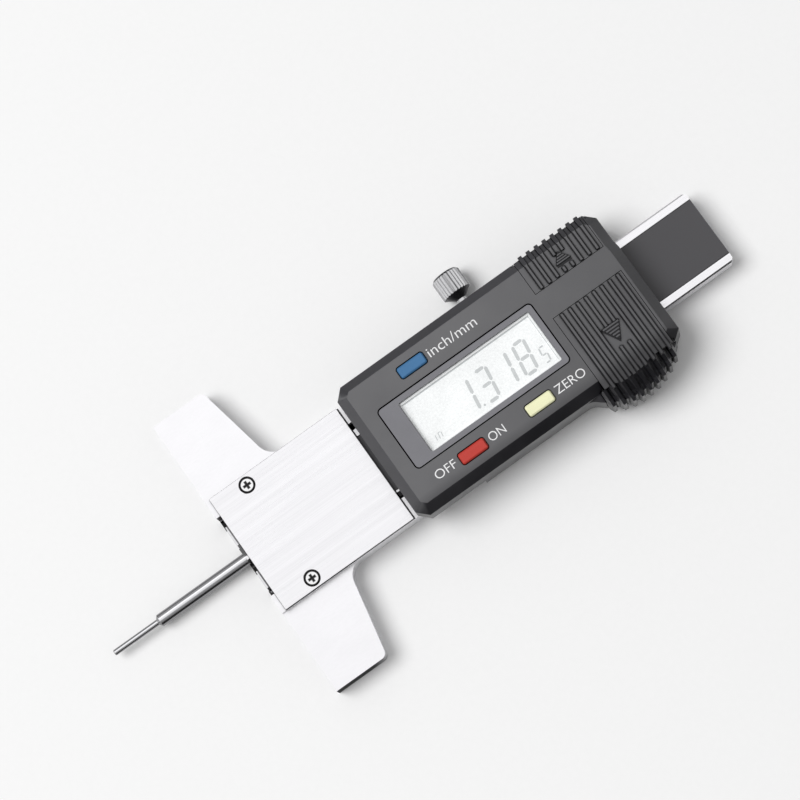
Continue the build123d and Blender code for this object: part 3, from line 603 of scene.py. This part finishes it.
def smoothed(piece, degrees):
    """Smooth shading over all edges flatter than an angle."""
    pick(piece)
    bpy.ops.object.shade_smooth_by_angle(angle=math.radians(degrees))


def wear(piece, slot, body, look=None):
    """Gives a piece the finish of its slot or another look, and lets it ride on its body."""
    piece.data.materials.clear()
    piece.data.materials.append(finish_of(look or slot))
    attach(piece, body)


def flatten_faces(piece):
    """Lets large faces rule the shading, so that they look flat between their softened edges."""
    pick(piece)
    weighted = piece.modifiers.new("flat faces", "WEIGHTED_NORMAL")
    weighted.keep_sharp = True
    weighted.weight = 100
    bpy.ops.object.modifier_apply(modifier=weighted.name)


def mark_edges(piece, chosen):
    """Marks the sharp edges for which chosen(one end, other end) holds, for the bevel to soften."""
    form = bmesh.new()
    form.from_mesh(piece.data)
    marks = form.edges.layers.float.new("bevel_weight_edge")
    for edge in form.edges:
        ends = [vertex.co for vertex in edge.verts]
        if len(edge.link_faces) == 2 and edge.calc_face_angle() > SHARP_EDGE and chosen(*ends):
            edge[marks] = 1.0
    form.to_mesh(piece.data)
    form.free()


def softened(
    node, slot, body, edge, smooth=SHARP, segments=2, chosen=None, free=False, look=None,
    merge=SAME_POINT,
):
    """A copy of a solid with its faces joined and its sharp edges softened, in the solid's place.

    chosen(one end, other end) picks the edges to soften, or all sharp ones are. free edges keep
    their full softening beside short ones. Points closer than merge are made one, so that short
    edges don't limit the softening. look names a finish other than the slot's.
    """
    piece = bpy.data.objects.new(node + "_look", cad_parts[node].data.copy())
    bpy.context.scene.collection.objects.link(piece)
    in_edit(
        piece,
        bpy.ops.mesh.customdata_custom_splitnormals_clear,
        lambda: bpy.ops.mesh.remove_doubles(threshold=merge),
        lambda: bpy.ops.mesh.dissolve_limited(angle_limit=FLAT_JOINT),
    )
    if chosen is not None:
        mark_edges(piece, chosen)
    bevel = piece.modifiers.new("soft edges", "BEVEL")
    bevel.width = edge
    bevel.segments = segments
    bevel.limit_method = "ANGLE" if chosen is None else "WEIGHT"
    bevel.angle_limit = SHARP_EDGE
    bevel.use_clamp_overlap = not free
    bpy.ops.object.modifier_apply(modifier=bevel.name)
    smoothed(piece, smooth)
    flatten_faces(piece)
    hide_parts(node)
    wear(piece, slot, body, look)
    return piece


def dress_faces(piece, look, chosen):
    """Gives the faces for which chosen(face) holds a finish of their own."""
    piece.data.materials.append(finish_of(look))
    index = len(piece.data.materials) - 1
    for face in piece.data.polygons:
        if chosen(face):
            face.material_index = index


def dress_node(node, slot):
    """A solid that keeps its own mesh gets its finish."""
    for material_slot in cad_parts[node].material_slots:
        material_slot.material = finish_of(slot)


def in_edit(piece, *steps):
    """Runs edit-mode steps on all of a piece."""
    pick(piece)
    bpy.ops.object.mode_set(mode="EDIT")
    bpy.ops.mesh.select_all(action="SELECT")
    for step in steps:
        step()
    bpy.ops.object.mode_set(mode="OBJECT")


def bevel_all(edge):
    """The edit-mode step that softens every edge."""
    return lambda: bpy.ops.mesh.bevel(offset=edge, segments=2, affect="EDGES")


def extrude(rise):
    """The edit-mode step that draws a flat piece up."""
    return lambda: bpy.ops.mesh.extrude_region_move(
        TRANSFORM_OT_translate={"value": (0.0, 0.0, rise)}
    )


def joined(pieces, name):
    """Several pieces as one mesh."""
    deselect()
    for piece in pieces:
        piece.select_set(True)
    bpy.context.view_layer.objects.active = pieces[0]
    if len(pieces) > 1:
        bpy.ops.object.join()
    pieces[0].name = name
    return pieces[0]


def block(size, centre, edge):
    """A straight block with softened edges."""
    piece = started(bpy.ops.mesh.primitive_cube_add, size=1.0)
    piece.scale = size
    bake_place(piece)
    in_edit(piece, bevel_all(edge))
    piece.location = centre
    bake_place(piece)
    return piece


# Share of a bar's width that its pointed ends take, and of the gap between two bars.
BAR_POINT = 0.42
BAR_GAP = 0.3


def bar(length, width, turn, centre):
    """One bar of a digit: a plate with pointed ends, drawn up to its thickness and turned."""
    piece = started(bpy.ops.mesh.primitive_plane_add, size=1.0)
    piece.scale = (length, width, 1.0)
    bake_place(piece)
    in_edit(
        piece,
        lambda: bpy.ops.mesh.bevel(offset=width * BAR_POINT, segments=1, affect="VERTICES"),
        extrude(SKIN),
    )
    piece.rotation_euler = (0.0, 0.0, turn)
    piece.location = centre
    bake_place(piece)
    return piece


# The gauge's pieces


RECESS_REACH, RECESS_DEPTH = 1.0 * MM, 0.8 * MM
# Size and depth of the black rings that stand in for the shadow round the plate's screw heads.
SHADOW_RING_RADIUS, SHADOW_RING_TUBE, SHADOW_RING_DEPTH = 1.44 * MM, 0.125 * MM, 0.24 * MM


def in_screw_recess(face):
    """Whether a face of a plate screw lies in its cross recess."""
    x, y, z = face.center
    from_axis = min(math.hypot(x - axis_x, y - axis_y) for axis_x, axis_y in PLATE_SCREWS)
    return from_axis < RECESS_REACH and PLATE_TOP - RECESS_DEPTH < z < PLATE_TOP - SKIN


def plate_screw_shadow_rings():
    """Black rings of painted shadow between the heads of the plate's screws and their seats."""
    rings = []
    for x, y in PLATE_SCREWS:
        ring = started(
            bpy.ops.mesh.primitive_torus_add,
            major_radius=SHADOW_RING_RADIUS,
            minor_radius=SHADOW_RING_TUBE,
            major_segments=64,
            minor_segments=12,
        )
        ring.location = (x, y, PLATE_TOP - SHADOW_RING_DEPTH)
        bake_place(ring)
        rings.append(ring)
    washers = joined(rings, "plate_screw_shadow_rings")
    smoothed(washers, 60.0)
    wear(washers, "dark_screws", FRAME_BODY, "shaded_steel")


def on_the_side(face):
    return abs(face.normal.z) < 0.9


def on_the_near_side(face):
    return face.normal.y < -0.6


class GAUGE_OT_foot(Operator):
    """Foot with its channel frame, the ground cover plate and its two screws"""

    bl_idname = "gauge.foot"
    bl_label = "Foot and cover plate"

    def execute(self, context):
        edge, body = context.scene.gauge_sizes.steel_edge, FRAME_BODY
        softened("base_foot", "satin_steel", body, edge, merge=SHORT_EDGE)
        plate = softened("cover_plate", "ground_steel", body, edge, merge=SHORT_EDGE)
        # The plate's sides wear a darker steel, and its near side the painted shade of
        # shaded_steel.
        dress_faces(plate, "edge_steel", on_the_side)
        dress_faces(plate, "shaded_steel", on_the_near_side)
        look = "cover_screw_steel"
        screws = softened("cover_plate_screws", "screw_steel", body, FINE_EDGE, look=look)
        # The screws' cross recesses take painted shade.
        dress_faces(screws, "shaded_steel", in_screw_recess)
        # Black rings of painted shadow round the plate's screw heads.
        plate_screw_shadow_rings()
        return {"FINISHED"}


class GAUGE_OT_beam(Operator):
    """Sliding beam with the dark film of its scale"""

    bl_idname = "gauge.beam"
    bl_label = "Beam and scale"

    def execute(self, context):
        edge, body = context.scene.gauge_sizes.steel_edge * 0.5, BEAM_BODY
        softened("beam", "ground_steel", body, edge, look="beam_steel")
        softened("scale_strip", "scale_film", body, FINE_EDGE)
        return {"FINISHED"}


class GAUGE_OT_probe(Operator):
    """Stepped probe, its holder in the channel's mouth and the holder's cross pin"""

    bl_idname = "gauge.probe"
    bl_label = "Probe"

    def execute(self, context):
        softened("probe_rod", "polished_steel", BEAM_BODY, FINE_EDGE, smooth=40.0)
        softened("probe_holder", "satin_steel", BEAM_BODY, HOLDER_EDGE)
        dress_node("holder_pin", "satin_steel")
        return {"FINISHED"}


class GAUGE_OT_housing(Operator):
    """Moulded housing that carries the display and the buttons"""

    bl_idname = "gauge.housing"
    bl_label = "Housing"

    def execute(self, context):
        edge, body = context.scene.gauge_sizes.plastic_edge, FRAME_BODY
        softened("front_housing", "housing_plastic", body, edge, merge=SHORT_EDGE)
        dress_node("housing_screws", "dark_screws")
        return {"FINISHED"}


def on_a_rib(one, other):
    """Whether an edge runs along the top of a rib."""
    on_top = min(one.z, other.z) > COVER_RIBS_TOP - 0.01 * MM
    return on_top and (one - other).length > 0.3 * MM


def beside_a_rib(face):
    """Whether a face is the flank or the softened edge of a rib."""
    above = face.center.z > HOUSING_TOP - 0.05 * MM
    return above and 0.02 < abs(face.normal.x) and face.normal.z < 0.97


class GAUGE_OT_covers(Operator):
    """Ribbed battery cover with its toothed bulge, and the data port's cover"""

    bl_idname = "gauge.covers"
    bl_label = "Covers"

    def execute(self, context):
        edge = context.scene.gauge_sizes.rib_edge
        ribs = {"segments": 3, "chosen": on_a_rib, "free": True}
        covers = [
            softened(node, "housing_plastic", node + "_body", edge, **ribs)
            for node in ("battery_cover", "data_port_cover")
        ]
        for cover in covers:
            # The ribs' flanks and softened edges take the darker rib_shade: painted shade.
            dress_faces(cover, "rib_shade", beside_a_rib)
        return {"FINISHED"}


def strip(x0, x1, y0, y1, z0, z1):
    """A straight strip between two corners, with softened edges."""
    size = (x1 - x0, y1 - y0, z1 - z0)
    return block(size, ((x0 + x1) / 2, (y0 + y1) / 2, (z0 + z1) / 2), min(size) * 0.2)


def display_rim():
    """The pale rim that holds the panel under the window, and the fine lines inside it.

    The lines run along the rim's top and right, as painted shade.
    """
    low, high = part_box("display_window")
    inset, wide = SKIN, 0.42 * MM
    narrow = wide * 0.6
    x0, x1, y0, y1 = low.x + inset, high.x - inset, low.y + inset, high.y - inset
    top, right = y1 - wide, x1 - wide
    level = (PANEL_TOP + 0.01 * MM, low.z - 0.03 * MM)
    strips = [
        strip(x0, x1, top, y1, *level),
        strip(x0, x1, y0, y0 + narrow, *level),
        strip(x0, x0 + narrow, y0 + narrow, top, *level),
        strip(right, x1, y0 + narrow, top, *level),
    ]
    wear(joined(strips, "display_rim"), "lcd_glass", FRAME_BODY)
    # Painted shade: grey lines where the rim's top and right walls shade the panel.
    thin = (PANEL_TOP, PANEL_TOP + 0.03 * MM)
    line_foot, line_left = top - 0.24 * MM, right - 0.14 * MM
    lines = [
        strip(x0 + wide, right, line_foot, top - inset, *thin),
        strip(line_left, right - inset, y0 + wide, line_foot, *thin),
    ]
    wear(joined(lines, "display_shadow_lines"), "lcd_glass", FRAME_BODY, "display_digits")


class GAUGE_OT_display(Operator):
    """Display's frame, its clear window and the pale panel behind it"""

    bl_idname = "gauge.display"
    bl_label = "Display"

    def execute(self, context):
        edge, body = context.scene.gauge_sizes.plastic_edge, FRAME_BODY
        softened("display_bezel", "bezel_plastic", body, edge, merge=SHORT_EDGE)
        softened("display_window", "clear_window", body, WINDOW_EDGE)
        dress_node("lcd_panel", "lcd_glass")
        display_rim()
        return {"FINISHED"}


SEGMENTS = {"1": "bc", "3": "abcdg", "5": "acdfg", "8": "abcdefg"}

# In millimetres: the foot line and the right bars of the first digit, the small last digit's
# right bars, foot line, width, height and bar, the point, and the unit's strokes and bar.
DIGITS_FOOT, FIRST_DIGIT = -4.1, 52.6
SMALL_DIGIT = (68.24, -4.25, 1.1, 3.1, 0.3)
POINT_PLACE, POINT_SIZE = (53.2, -3.91), 0.5
UNIT_STROKES = ((42.33, -3.68, 1.13), (43.0, -3.64, 1.2), (43.62, -3.68, 1.05))
UNIT_BAR, UNIT_BAR_LENGTH = (43.36, -3.07), 0.45
UNIT_STROKE = 0.17


def on_panel(x, y):
    """A place on the display's panel, from millimetres."""
    return (x * MM, y * MM, PANEL_TOP)


def digit(character, right, foot, width, height, stroke, lean):
    """A seven-bar digit whose right bars stand at right, over a foot line."""
    left, middle = right - width, foot + height / 2
    centre = (left + right) / 2
    gap = stroke * BAR_GAP
    flat = width - stroke * 0.5 - gap
    tall = height / 2 - gap
    upright = math.pi / 2 - lean
    places = {
        "a": (flat, 0.0, centre, foot + height),
        "g": (flat, 0.0, centre, middle),
        "d": (flat, 0.0, centre, foot),
        "b": (tall, upright, right, middle + height / 4),
        "c": (tall, upright, right, foot + height / 4),
        "f": (tall, upright, left, middle + height / 4),
        "e": (tall, upright, left, foot + height / 4),
    }
    bars = []
    for name in SEGMENTS[character]:
        length, turn, x, y = places[name]
        x += (y - middle) * math.tan(lean)
        bars.append(bar(length, stroke, turn, (x, y, PANEL_TOP)))
    return bars


class GAUGE_OT_digits(Operator):
    """Number on the display, with its point, its small last digit and its unit"""

    bl_idname = "gauge.digits"
    bl_label = "Digits"

    def execute(self, context):
        sizes = context.scene.gauge_sizes
        size = (sizes.digit_width, sizes.digit_height, sizes.digit_bar, sizes.digit_lean)
        bars = []
        for index, character in enumerate("1318"):
            right = FIRST_DIGIT * MM + index * sizes.digit_pitch
            bars += digit(character, right, DIGITS_FOOT * MM, *size)
        bars += digit("5", *(measure * MM for measure in SMALL_DIGIT), sizes.digit_lean)
        bars.append(bar(POINT_SIZE * MM, POINT_SIZE * MM, 0.0, on_panel(*POINT_PLACE)))
        upright = math.pi / 2 - sizes.digit_lean
        for x, y, length in UNIT_STROKES:
            bars.append(bar(length * MM, UNIT_STROKE * MM, upright, on_panel(x, y)))
        bars.append(bar(UNIT_BAR_LENGTH * MM, UNIT_STROKE * MM, 0.0, on_panel(*UNIT_BAR)))
        number = joined(bars, "display_number")
        wear(number, "lcd_glass", FRAME_BODY, "display_digits")
        return {"FINISHED"}


BUTTONS = {
    "unit_button": "blue_plastic",
    "power_button": "red_plastic",
    "zero_button": "yellow_plastic",
}


class GAUGE_OT_buttons(Operator):
    """Blue unit button, red power button and yellow zero button"""

    bl_idname = "gauge.buttons"
    bl_label = "Buttons"

    def execute(self, context):
        for node, slot in BUTTONS.items():
            softened(node, slot, node + "_body", BUTTON_EDGE, segments=3, merge=SHORT_EDGE)
        return {"FINISHED"}


LETTER_THINNING = 0.004


def label(words, left, foot, width, height):
    """Printed words with their lower left corner and size given, on the housing's top."""
    piece = started(bpy.ops.object.text_add)
    piece.data.body = words
    piece.data.size = height
    piece.data.offset = -height * LETTER_THINNING
    piece.data.extrude = INK / 2
    bpy.ops.object.convert(target="MESH")
    piece = bpy.context.active_object
    xs, ys, _ = zip(*piece.bound_box)
    wider, taller = width / (max(xs) - min(xs)), height / (max(ys) - min(ys))
    piece.scale = (wider, taller, 1.0)
    piece.location = (left - min(xs) * wider, foot - min(ys) * taller, HOUSING_TOP + INK / 2)
    bake_place(piece)
    return piece


# Each label's words, its lower left corner and width in millimetres, and its height in capitals.
LABELS = {
    "unit_words": ("inch/mm", 50.15, 9.0, 10.69, 1.13),
    "off_word": ("OFF", 38.1, -10.56, 4.5, 1.0),
    "on_word": ("ON", 50.22, -10.56, 3.49, 1.0),
    "zero_word": ("ZERO", 65.32, -10.56, 6.47, 1.0),
}


class GAUGE_OT_labels(Operator):
    """White words printed beside the buttons"""

    bl_idname = "gauge.labels"
    bl_label = "Printed words"

    def execute(self, context):
        capitals = context.scene.gauge_sizes.label_height
        for name, (words, left, foot, width, height) in LABELS.items():
            piece = label(words, left * MM, foot * MM, width * MM, height * capitals)
            piece.name = name
            wear(piece, "housing_plastic", FRAME_BODY, "print_white")
        return {"FINISHED"}


def three_cornered(corners, foot, rise, edge):
    """A flat three-cornered plate with softened edges."""
    plate = started(bpy.ops.mesh.primitive_circle_add, vertices=3, radius=1.0, fill_type="NGON")
    for vertex, (x, y) in zip(plate.data.vertices, corners):
        vertex.co = (x, y, foot)
    in_edit(
        plate,
        extrude(rise),
        lambda: bpy.ops.mesh.select_all(action="SELECT"),
        lambda: bpy.ops.mesh.normals_make_consistent(inside=False),
        bevel_all(edge),
    )
    return plate


# How far an arrow starts under the housing's top and its boss stays under the ribs' top, the
# height and softening of its sheet of painted shadow, and how much shorter each ridge is and
# its share of a row.
ARROW_ROOT, BOSS_DROP = 0.05 * MM, 0.12 * MM
SHADOW_SHEET_RISE, SHADOW_SHEET_EDGE = 0.09 * MM, 0.01 * MM
RIDGE_INSET, RIDGE_SHARE = 0.12 * MM, 0.6


def moulded_arrow(name, tip, base, half_width, rows, body, shade):
    """A three-cornered boss on a cover, with ridges across it that grow shorter towards its tip.

    The boss wears the darker rib_shade between the ridges, as painted shade. shade is how far
    the dark sheet of painted shadow beside the boss lies off it, along each axis.
    """
    middle = ARROWS_MIDDLE
    foot = HOUSING_TOP - ARROW_ROOT
    rise = COVER_RIBS_TOP - BOSS_DROP - foot
    corners = ((middle, tip), (middle - half_width, base), (middle + half_width, base))
    # A dark sheet of painted shadow under the boss, lying off it by shade.
    shaded = [(x + shade[0], y + shade[1]) for x, y in corners]
    painted_shade = three_cornered(shaded, foot, SHADOW_SHEET_RISE, SHADOW_SHEET_EDGE)
    wear(painted_shade, "housing_plastic", body, "rib_shade")
    painted_shade.name = name + "_painted_shadow"
    boss = three_cornered(corners, foot, rise, MOULDED_EDGE)
    step, height = (tip - base) / rows, COVER_RIBS_TOP - foot
    ridges = []
    for row in range(rows - 1):
        length = 2 * half_width * (1 - (row + 0.5) / rows) - RIDGE_INSET
        centre = (middle, base + step * (row + 0.5), foot + height / 2)
        ridges.append(block((length, abs(step) * RIDGE_SHARE, height), centre, MOULDED_EDGE))
    # The boss wears the darker rib_shade between the ridges: painted shade.
    looks = ((joined(ridges, name + "_ridges"), None), (joined([boss], name), "rib_shade"))
    for piece, look in looks:
        smoothed(piece, 40.0)
        wear(piece, "housing_plastic", body, look)


# Each arrow's body, its tip, base and half width in millimetres, its rows and how far its
# painted shadow lies off it.
ARROWS = {
    "port_arrow": ("data_port_cover_body", 11.5, 9.2, 1.67, 5, (0.0, -0.42)),
    "battery_arrow": ("battery_cover_body", -9.0, -5.45, 1.95, 6, (-0.12, -0.3)),
}


class GAUGE_OT_arrows(Operator):
    """Moulded arrows on the covers that show which way each slides off"""

    bl_idname = "gauge.arrows"
    bl_label = "Arrows"

    def execute(self, context):
        for name, (body, tip, base, half_width, rows, (x, y)) in ARROWS.items():
            shade = (x * MM, y * MM)
            moulded_arrow(name, tip * MM, base * MM, half_width * MM, rows, body, shade)
        return {"FINISHED"}


def from_lock_axis(face):
    return math.hypot(face.center.x - LOCK_AXIS.x, face.center.z - LOCK_AXIS.z)


KNURL_DEPTH = 0.12 * MM
HEAD_RIM = 0.7
NECK_RADIUS = 1.05 * MM


def in_a_knurl(face):
    """Whether a face lies at the bottom of the thumb screw's knurls."""
    low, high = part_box("lock_screw")
    outer = (high.x - low.x) / 2
    on_head = face.center.y > LOCK_HEAD_START
    return on_head and HEAD_RIM * outer < from_lock_axis(face) < outer - KNURL_DEPTH


def under_the_head(face):
    """Whether a face is part of the bowl under the thumb screw's head."""
    along = LOCK_BOWL_START < face.center.y < LOCK_HEAD_START + SKIN
    return along and from_lock_axis(face) > NECK_RADIUS


class GAUGE_OT_lock_screw(Operator):
    """Knurled thumb screw at the housing's side, and the pad it presses"""

    bl_idname = "gauge.lock_screw"
    bl_label = "Lock screw"

    def execute(self, context):
        cut = {"smooth": 28.0, "segments": 1, "look": "knob_steel"}
        screw = softened("lock_screw", "screw_steel", "lock_screw_body", KNURL_EDGE, **cut)
        # The knurls' bottoms and the bowl under the head take painted shade.
        dress_faces(screw, "knurl_shade_steel", in_a_knurl)
        dress_faces(screw, "knurl_shade_steel", under_the_head)
        dress_node("lock_pad", "brass_parts")
        return {"FINISHED"}


HIDDEN_NODES = {
    "brass_parts": (
        "gib_strip", "battery_negative_contact", "battery_positive_contact", "data_port_pins",
    ),
    "dark_screws": ("gib_screws", "stop_screw"),
    "soft_rubber": ("lcd_connectors", "switch_domes"),
    "board_laminate": ("circuit_board",),
    "chip_resin": ("driver_chip",),
    "cell_steel": ("button_cell",),
}


class GAUGE_OT_inner_parts(Operator):
    """Finishes of the pieces inside the housing and the frame"""

    bl_idname = "gauge.inner_parts"
    bl_label = "Inner parts"

    def execute(self, context):
        for slot, nodes in HIDDEN_NODES.items():
            for node in nodes:
                dress_node(node, slot)
        return {"FINISHED"}


# Table, light and camera


GAUGE_MIDDLE = (0.04, 0.0, 0.0)
TABLE_SIZE = 6.0


def table_top(colour):
    """The wide pale table.

    Shiny faces see a painted reflection of it: light beside the gauge and dark further out.
    """
    piece = started(bpy.ops.mesh.primitive_plane_add, size=TABLE_SIZE)
    piece.location = (*GAUGE_MIDDLE[:2], TABLE)
    piece.name = "table_top"
    bake_place(piece)
    finish = Finish("table_paper", 0.85)
    finish.set(Specular_IOR_Level=0.0)
    paper = finish.spread(finish.noise(finish.position, 900.0, 2.0, 0.55), 0.995, 1.005)
    x, y, _ = finish.split(finish.position)
    behind_foot = (x, 4.0 * MM, 12.0 * MM)
    beside_gauge = finish.remap(*behind_foot, 0.45, 1.1)
    further_out = finish.remap(y, -20.0 * MM, 20.0 * MM, 0.06, 0.25)
    start = finish.remap(*behind_foot, 6.0 * MM, 25.0 * MM)
    end = finish.remap(*behind_foot, 14.0 * MM, 45.0 * MM)
    # Painted reflection: what shiny faces see of the table.
    painted_reflection = finish.remap(finish.unsigned(y), start, end, beside_gauge, further_out)
    glossy = finish.add("LightPath").outputs["Is Glossy Ray"]
    finish.tinted(colour, finish.remap(glossy, 0.0, 1.0, paper, painted_reflection))
    piece.data.materials.append(finish.material)


# What shiny faces see of the sky, from the near side at 0 to the far side at 1.
SKY_SHOWN = (
    (0.0, 0.02), (0.04, 0.03), (0.12, 0.28), (0.34, 0.4), (0.4, 1.08),
    (0.62, 1.15), (0.69, 1.65), (0.78, 1.65), (0.84, 0.4), (1.0, 0.35),
)


def sky(strength):
    """Plain light from all sides. Shiny faces see a bright far side and a dark near side."""
    world = bpy.data.worlds.new("studio")
    bpy.context.scene.world = world
    world.use_nodes = True
    world.cycles.sampling_method = "NONE"
    world.node_tree.nodes.clear()
    nodes = Nodes(world.node_tree)
    x, y, z = nodes.split(nodes.add("TexCoord").outputs["Generated"])
    far = nodes.total(nodes.product(x, 0.1), y)
    seen = nodes.ramp(nodes.remap(far, -1.0, 1.0, 0.0, 1.0), SKY_SHOWN)
    above = nodes.remap(z, 0.0, 0.3, 0.06, 1.0)
    beam_end = nodes.remap(x, 0.6, 0.95, 1.0, 0.25)
    plain = {"Color": (1.0, 1.0, 1.0, 1.0), "Strength": strength}
    shown = {"Color": seen, "Strength": nodes.product(above, beam_end)}
    choice = {
        0: nodes.add("LightPath").outputs["Is Glossy Ray"],
        1: nodes.add("Background", inputs=plain).outputs[0],
        2: nodes.add("Background", inputs=shown).outputs[0],
    }
    nodes.add("OutputWorld", inputs={0: nodes.add("MixShader", inputs=choice).outputs[0]})


KEY_PLACE, KEY_SIZE = Vector((-1.0, 0.65, 2.05)), 1.7


def key_lamp(power):
    """A large soft lamp that faces the gauge. Shiny faces don't see it."""
    deselect()
    bpy.ops.object.light_add(type="AREA", location=KEY_PLACE)
    lamp = bpy.context.active_object
    lamp.name = "key_lamp"
    lamp.data.shape = "DISK"
    lamp.data.size = KEY_SIZE
    lamp.data.energy = power
    lamp.rotation_mode = "QUATERNION"
    lamp.rotation_quaternion = (Vector(GAUGE_MIDDLE) - KEY_PLACE).to_track_quat("-Z", "Y")
    lamp.visible_glossy = False


# The camera's backward and right directions, and the point that it looks at.
CAMERA_BACK = (0.00028, -0.18389, 0.98295)
CAMERA_RIGHT = (0.81412, -0.57075, -0.107)
CAMERA_AIM = (0.04094, 0.0069, 0.00429)


def photo_camera(distance, lens):
    """The camera over the gauge, turned so that the beam points to the photo's upper right."""
    back = Vector(CAMERA_BACK).normalized()
    right = Vector(CAMERA_RIGHT).normalized()
    up = back.cross(right).normalized()
    deselect()
    bpy.ops.object.camera_add(location=Vector(CAMERA_AIM) + back * distance)
    camera = bpy.context.active_object
    camera.name = "photo_camera"
    camera.rotation_mode = "QUATERNION"
    camera.rotation_quaternion = Matrix((right, up, back)).transposed().to_quaternion()
    camera.data.sensor_width = 36.0
    camera.data.lens = lens
    camera.data.clip_start, camera.data.clip_end = 0.01, 20.0
    camera.data.dof.use_dof = False
    bpy.context.scene.camera = camera


class GAUGE_OT_stage(Operator):
    """Pale table, soft studio light and the camera at the photo's angle"""

    bl_idname = "gauge.stage"
    bl_label = "Stage"

    def execute(self, context):
        stage = context.scene.gauge_stage
        table_top(stage.floor)
        sky(stage.sky)
        key_lamp(stage.key)
        photo_camera(stage.distance, stage.lens)
        context.scene.view_settings.view_transform = "Standard"
        return {"FINISHED"}


# Sidebar and registration

PIECE_OPERATORS = (
    GAUGE_OT_foot, GAUGE_OT_beam, GAUGE_OT_probe, GAUGE_OT_housing, GAUGE_OT_covers,
    GAUGE_OT_display, GAUGE_OT_digits, GAUGE_OT_buttons, GAUGE_OT_labels, GAUGE_OT_arrows,
    GAUGE_OT_lock_screw, GAUGE_OT_inner_parts, GAUGE_OT_stage,
)


class GAUGE_PT_sidebar(Panel):
    """Sizes, colours and pieces of the gauge"""

    bl_idname = "GAUGE_PT_sidebar"
    bl_label = "Tread depth gauge"
    bl_space_type = "VIEW_3D"
    bl_region_type = "UI"
    bl_category = "Gauge"

    def draw(self, context):
        scene = context.scene
        for group in (scene.gauge_sizes, scene.gauge_colours, scene.gauge_stage):
            box = self.layout.box()
            for name in group.bl_rna.properties.keys():
                if name not in {"rna_type", "name"}:
                    box.prop(group, name)
        for operator in PIECE_OPERATORS:
            self.layout.operator(operator.bl_idname)


CLASSES = (GaugeSizes, GaugeColours, GaugeStage, *PIECE_OPERATORS, GAUGE_PT_sidebar)


def register():
    for made in CLASSES:
        bpy.utils.register_class(made)
    bpy.types.Scene.gauge_sizes = PointerProperty(type=GaugeSizes)
    bpy.types.Scene.gauge_colours = PointerProperty(type=GaugeColours)
    bpy.types.Scene.gauge_stage = PointerProperty(type=GaugeStage)


def unregister():
    del bpy.types.Scene.gauge_stage
    del bpy.types.Scene.gauge_colours
    del bpy.types.Scene.gauge_sizes
    for made in reversed(CLASSES):
        bpy.utils.unregister_class(made)


def main():
    """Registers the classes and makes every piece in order."""
    register()
    for operator in PIECE_OPERATORS:
        area, name = operator.bl_idname.split(".")
        getattr(getattr(bpy.ops, area), name)()


if __name__ == "__main__":
    main()
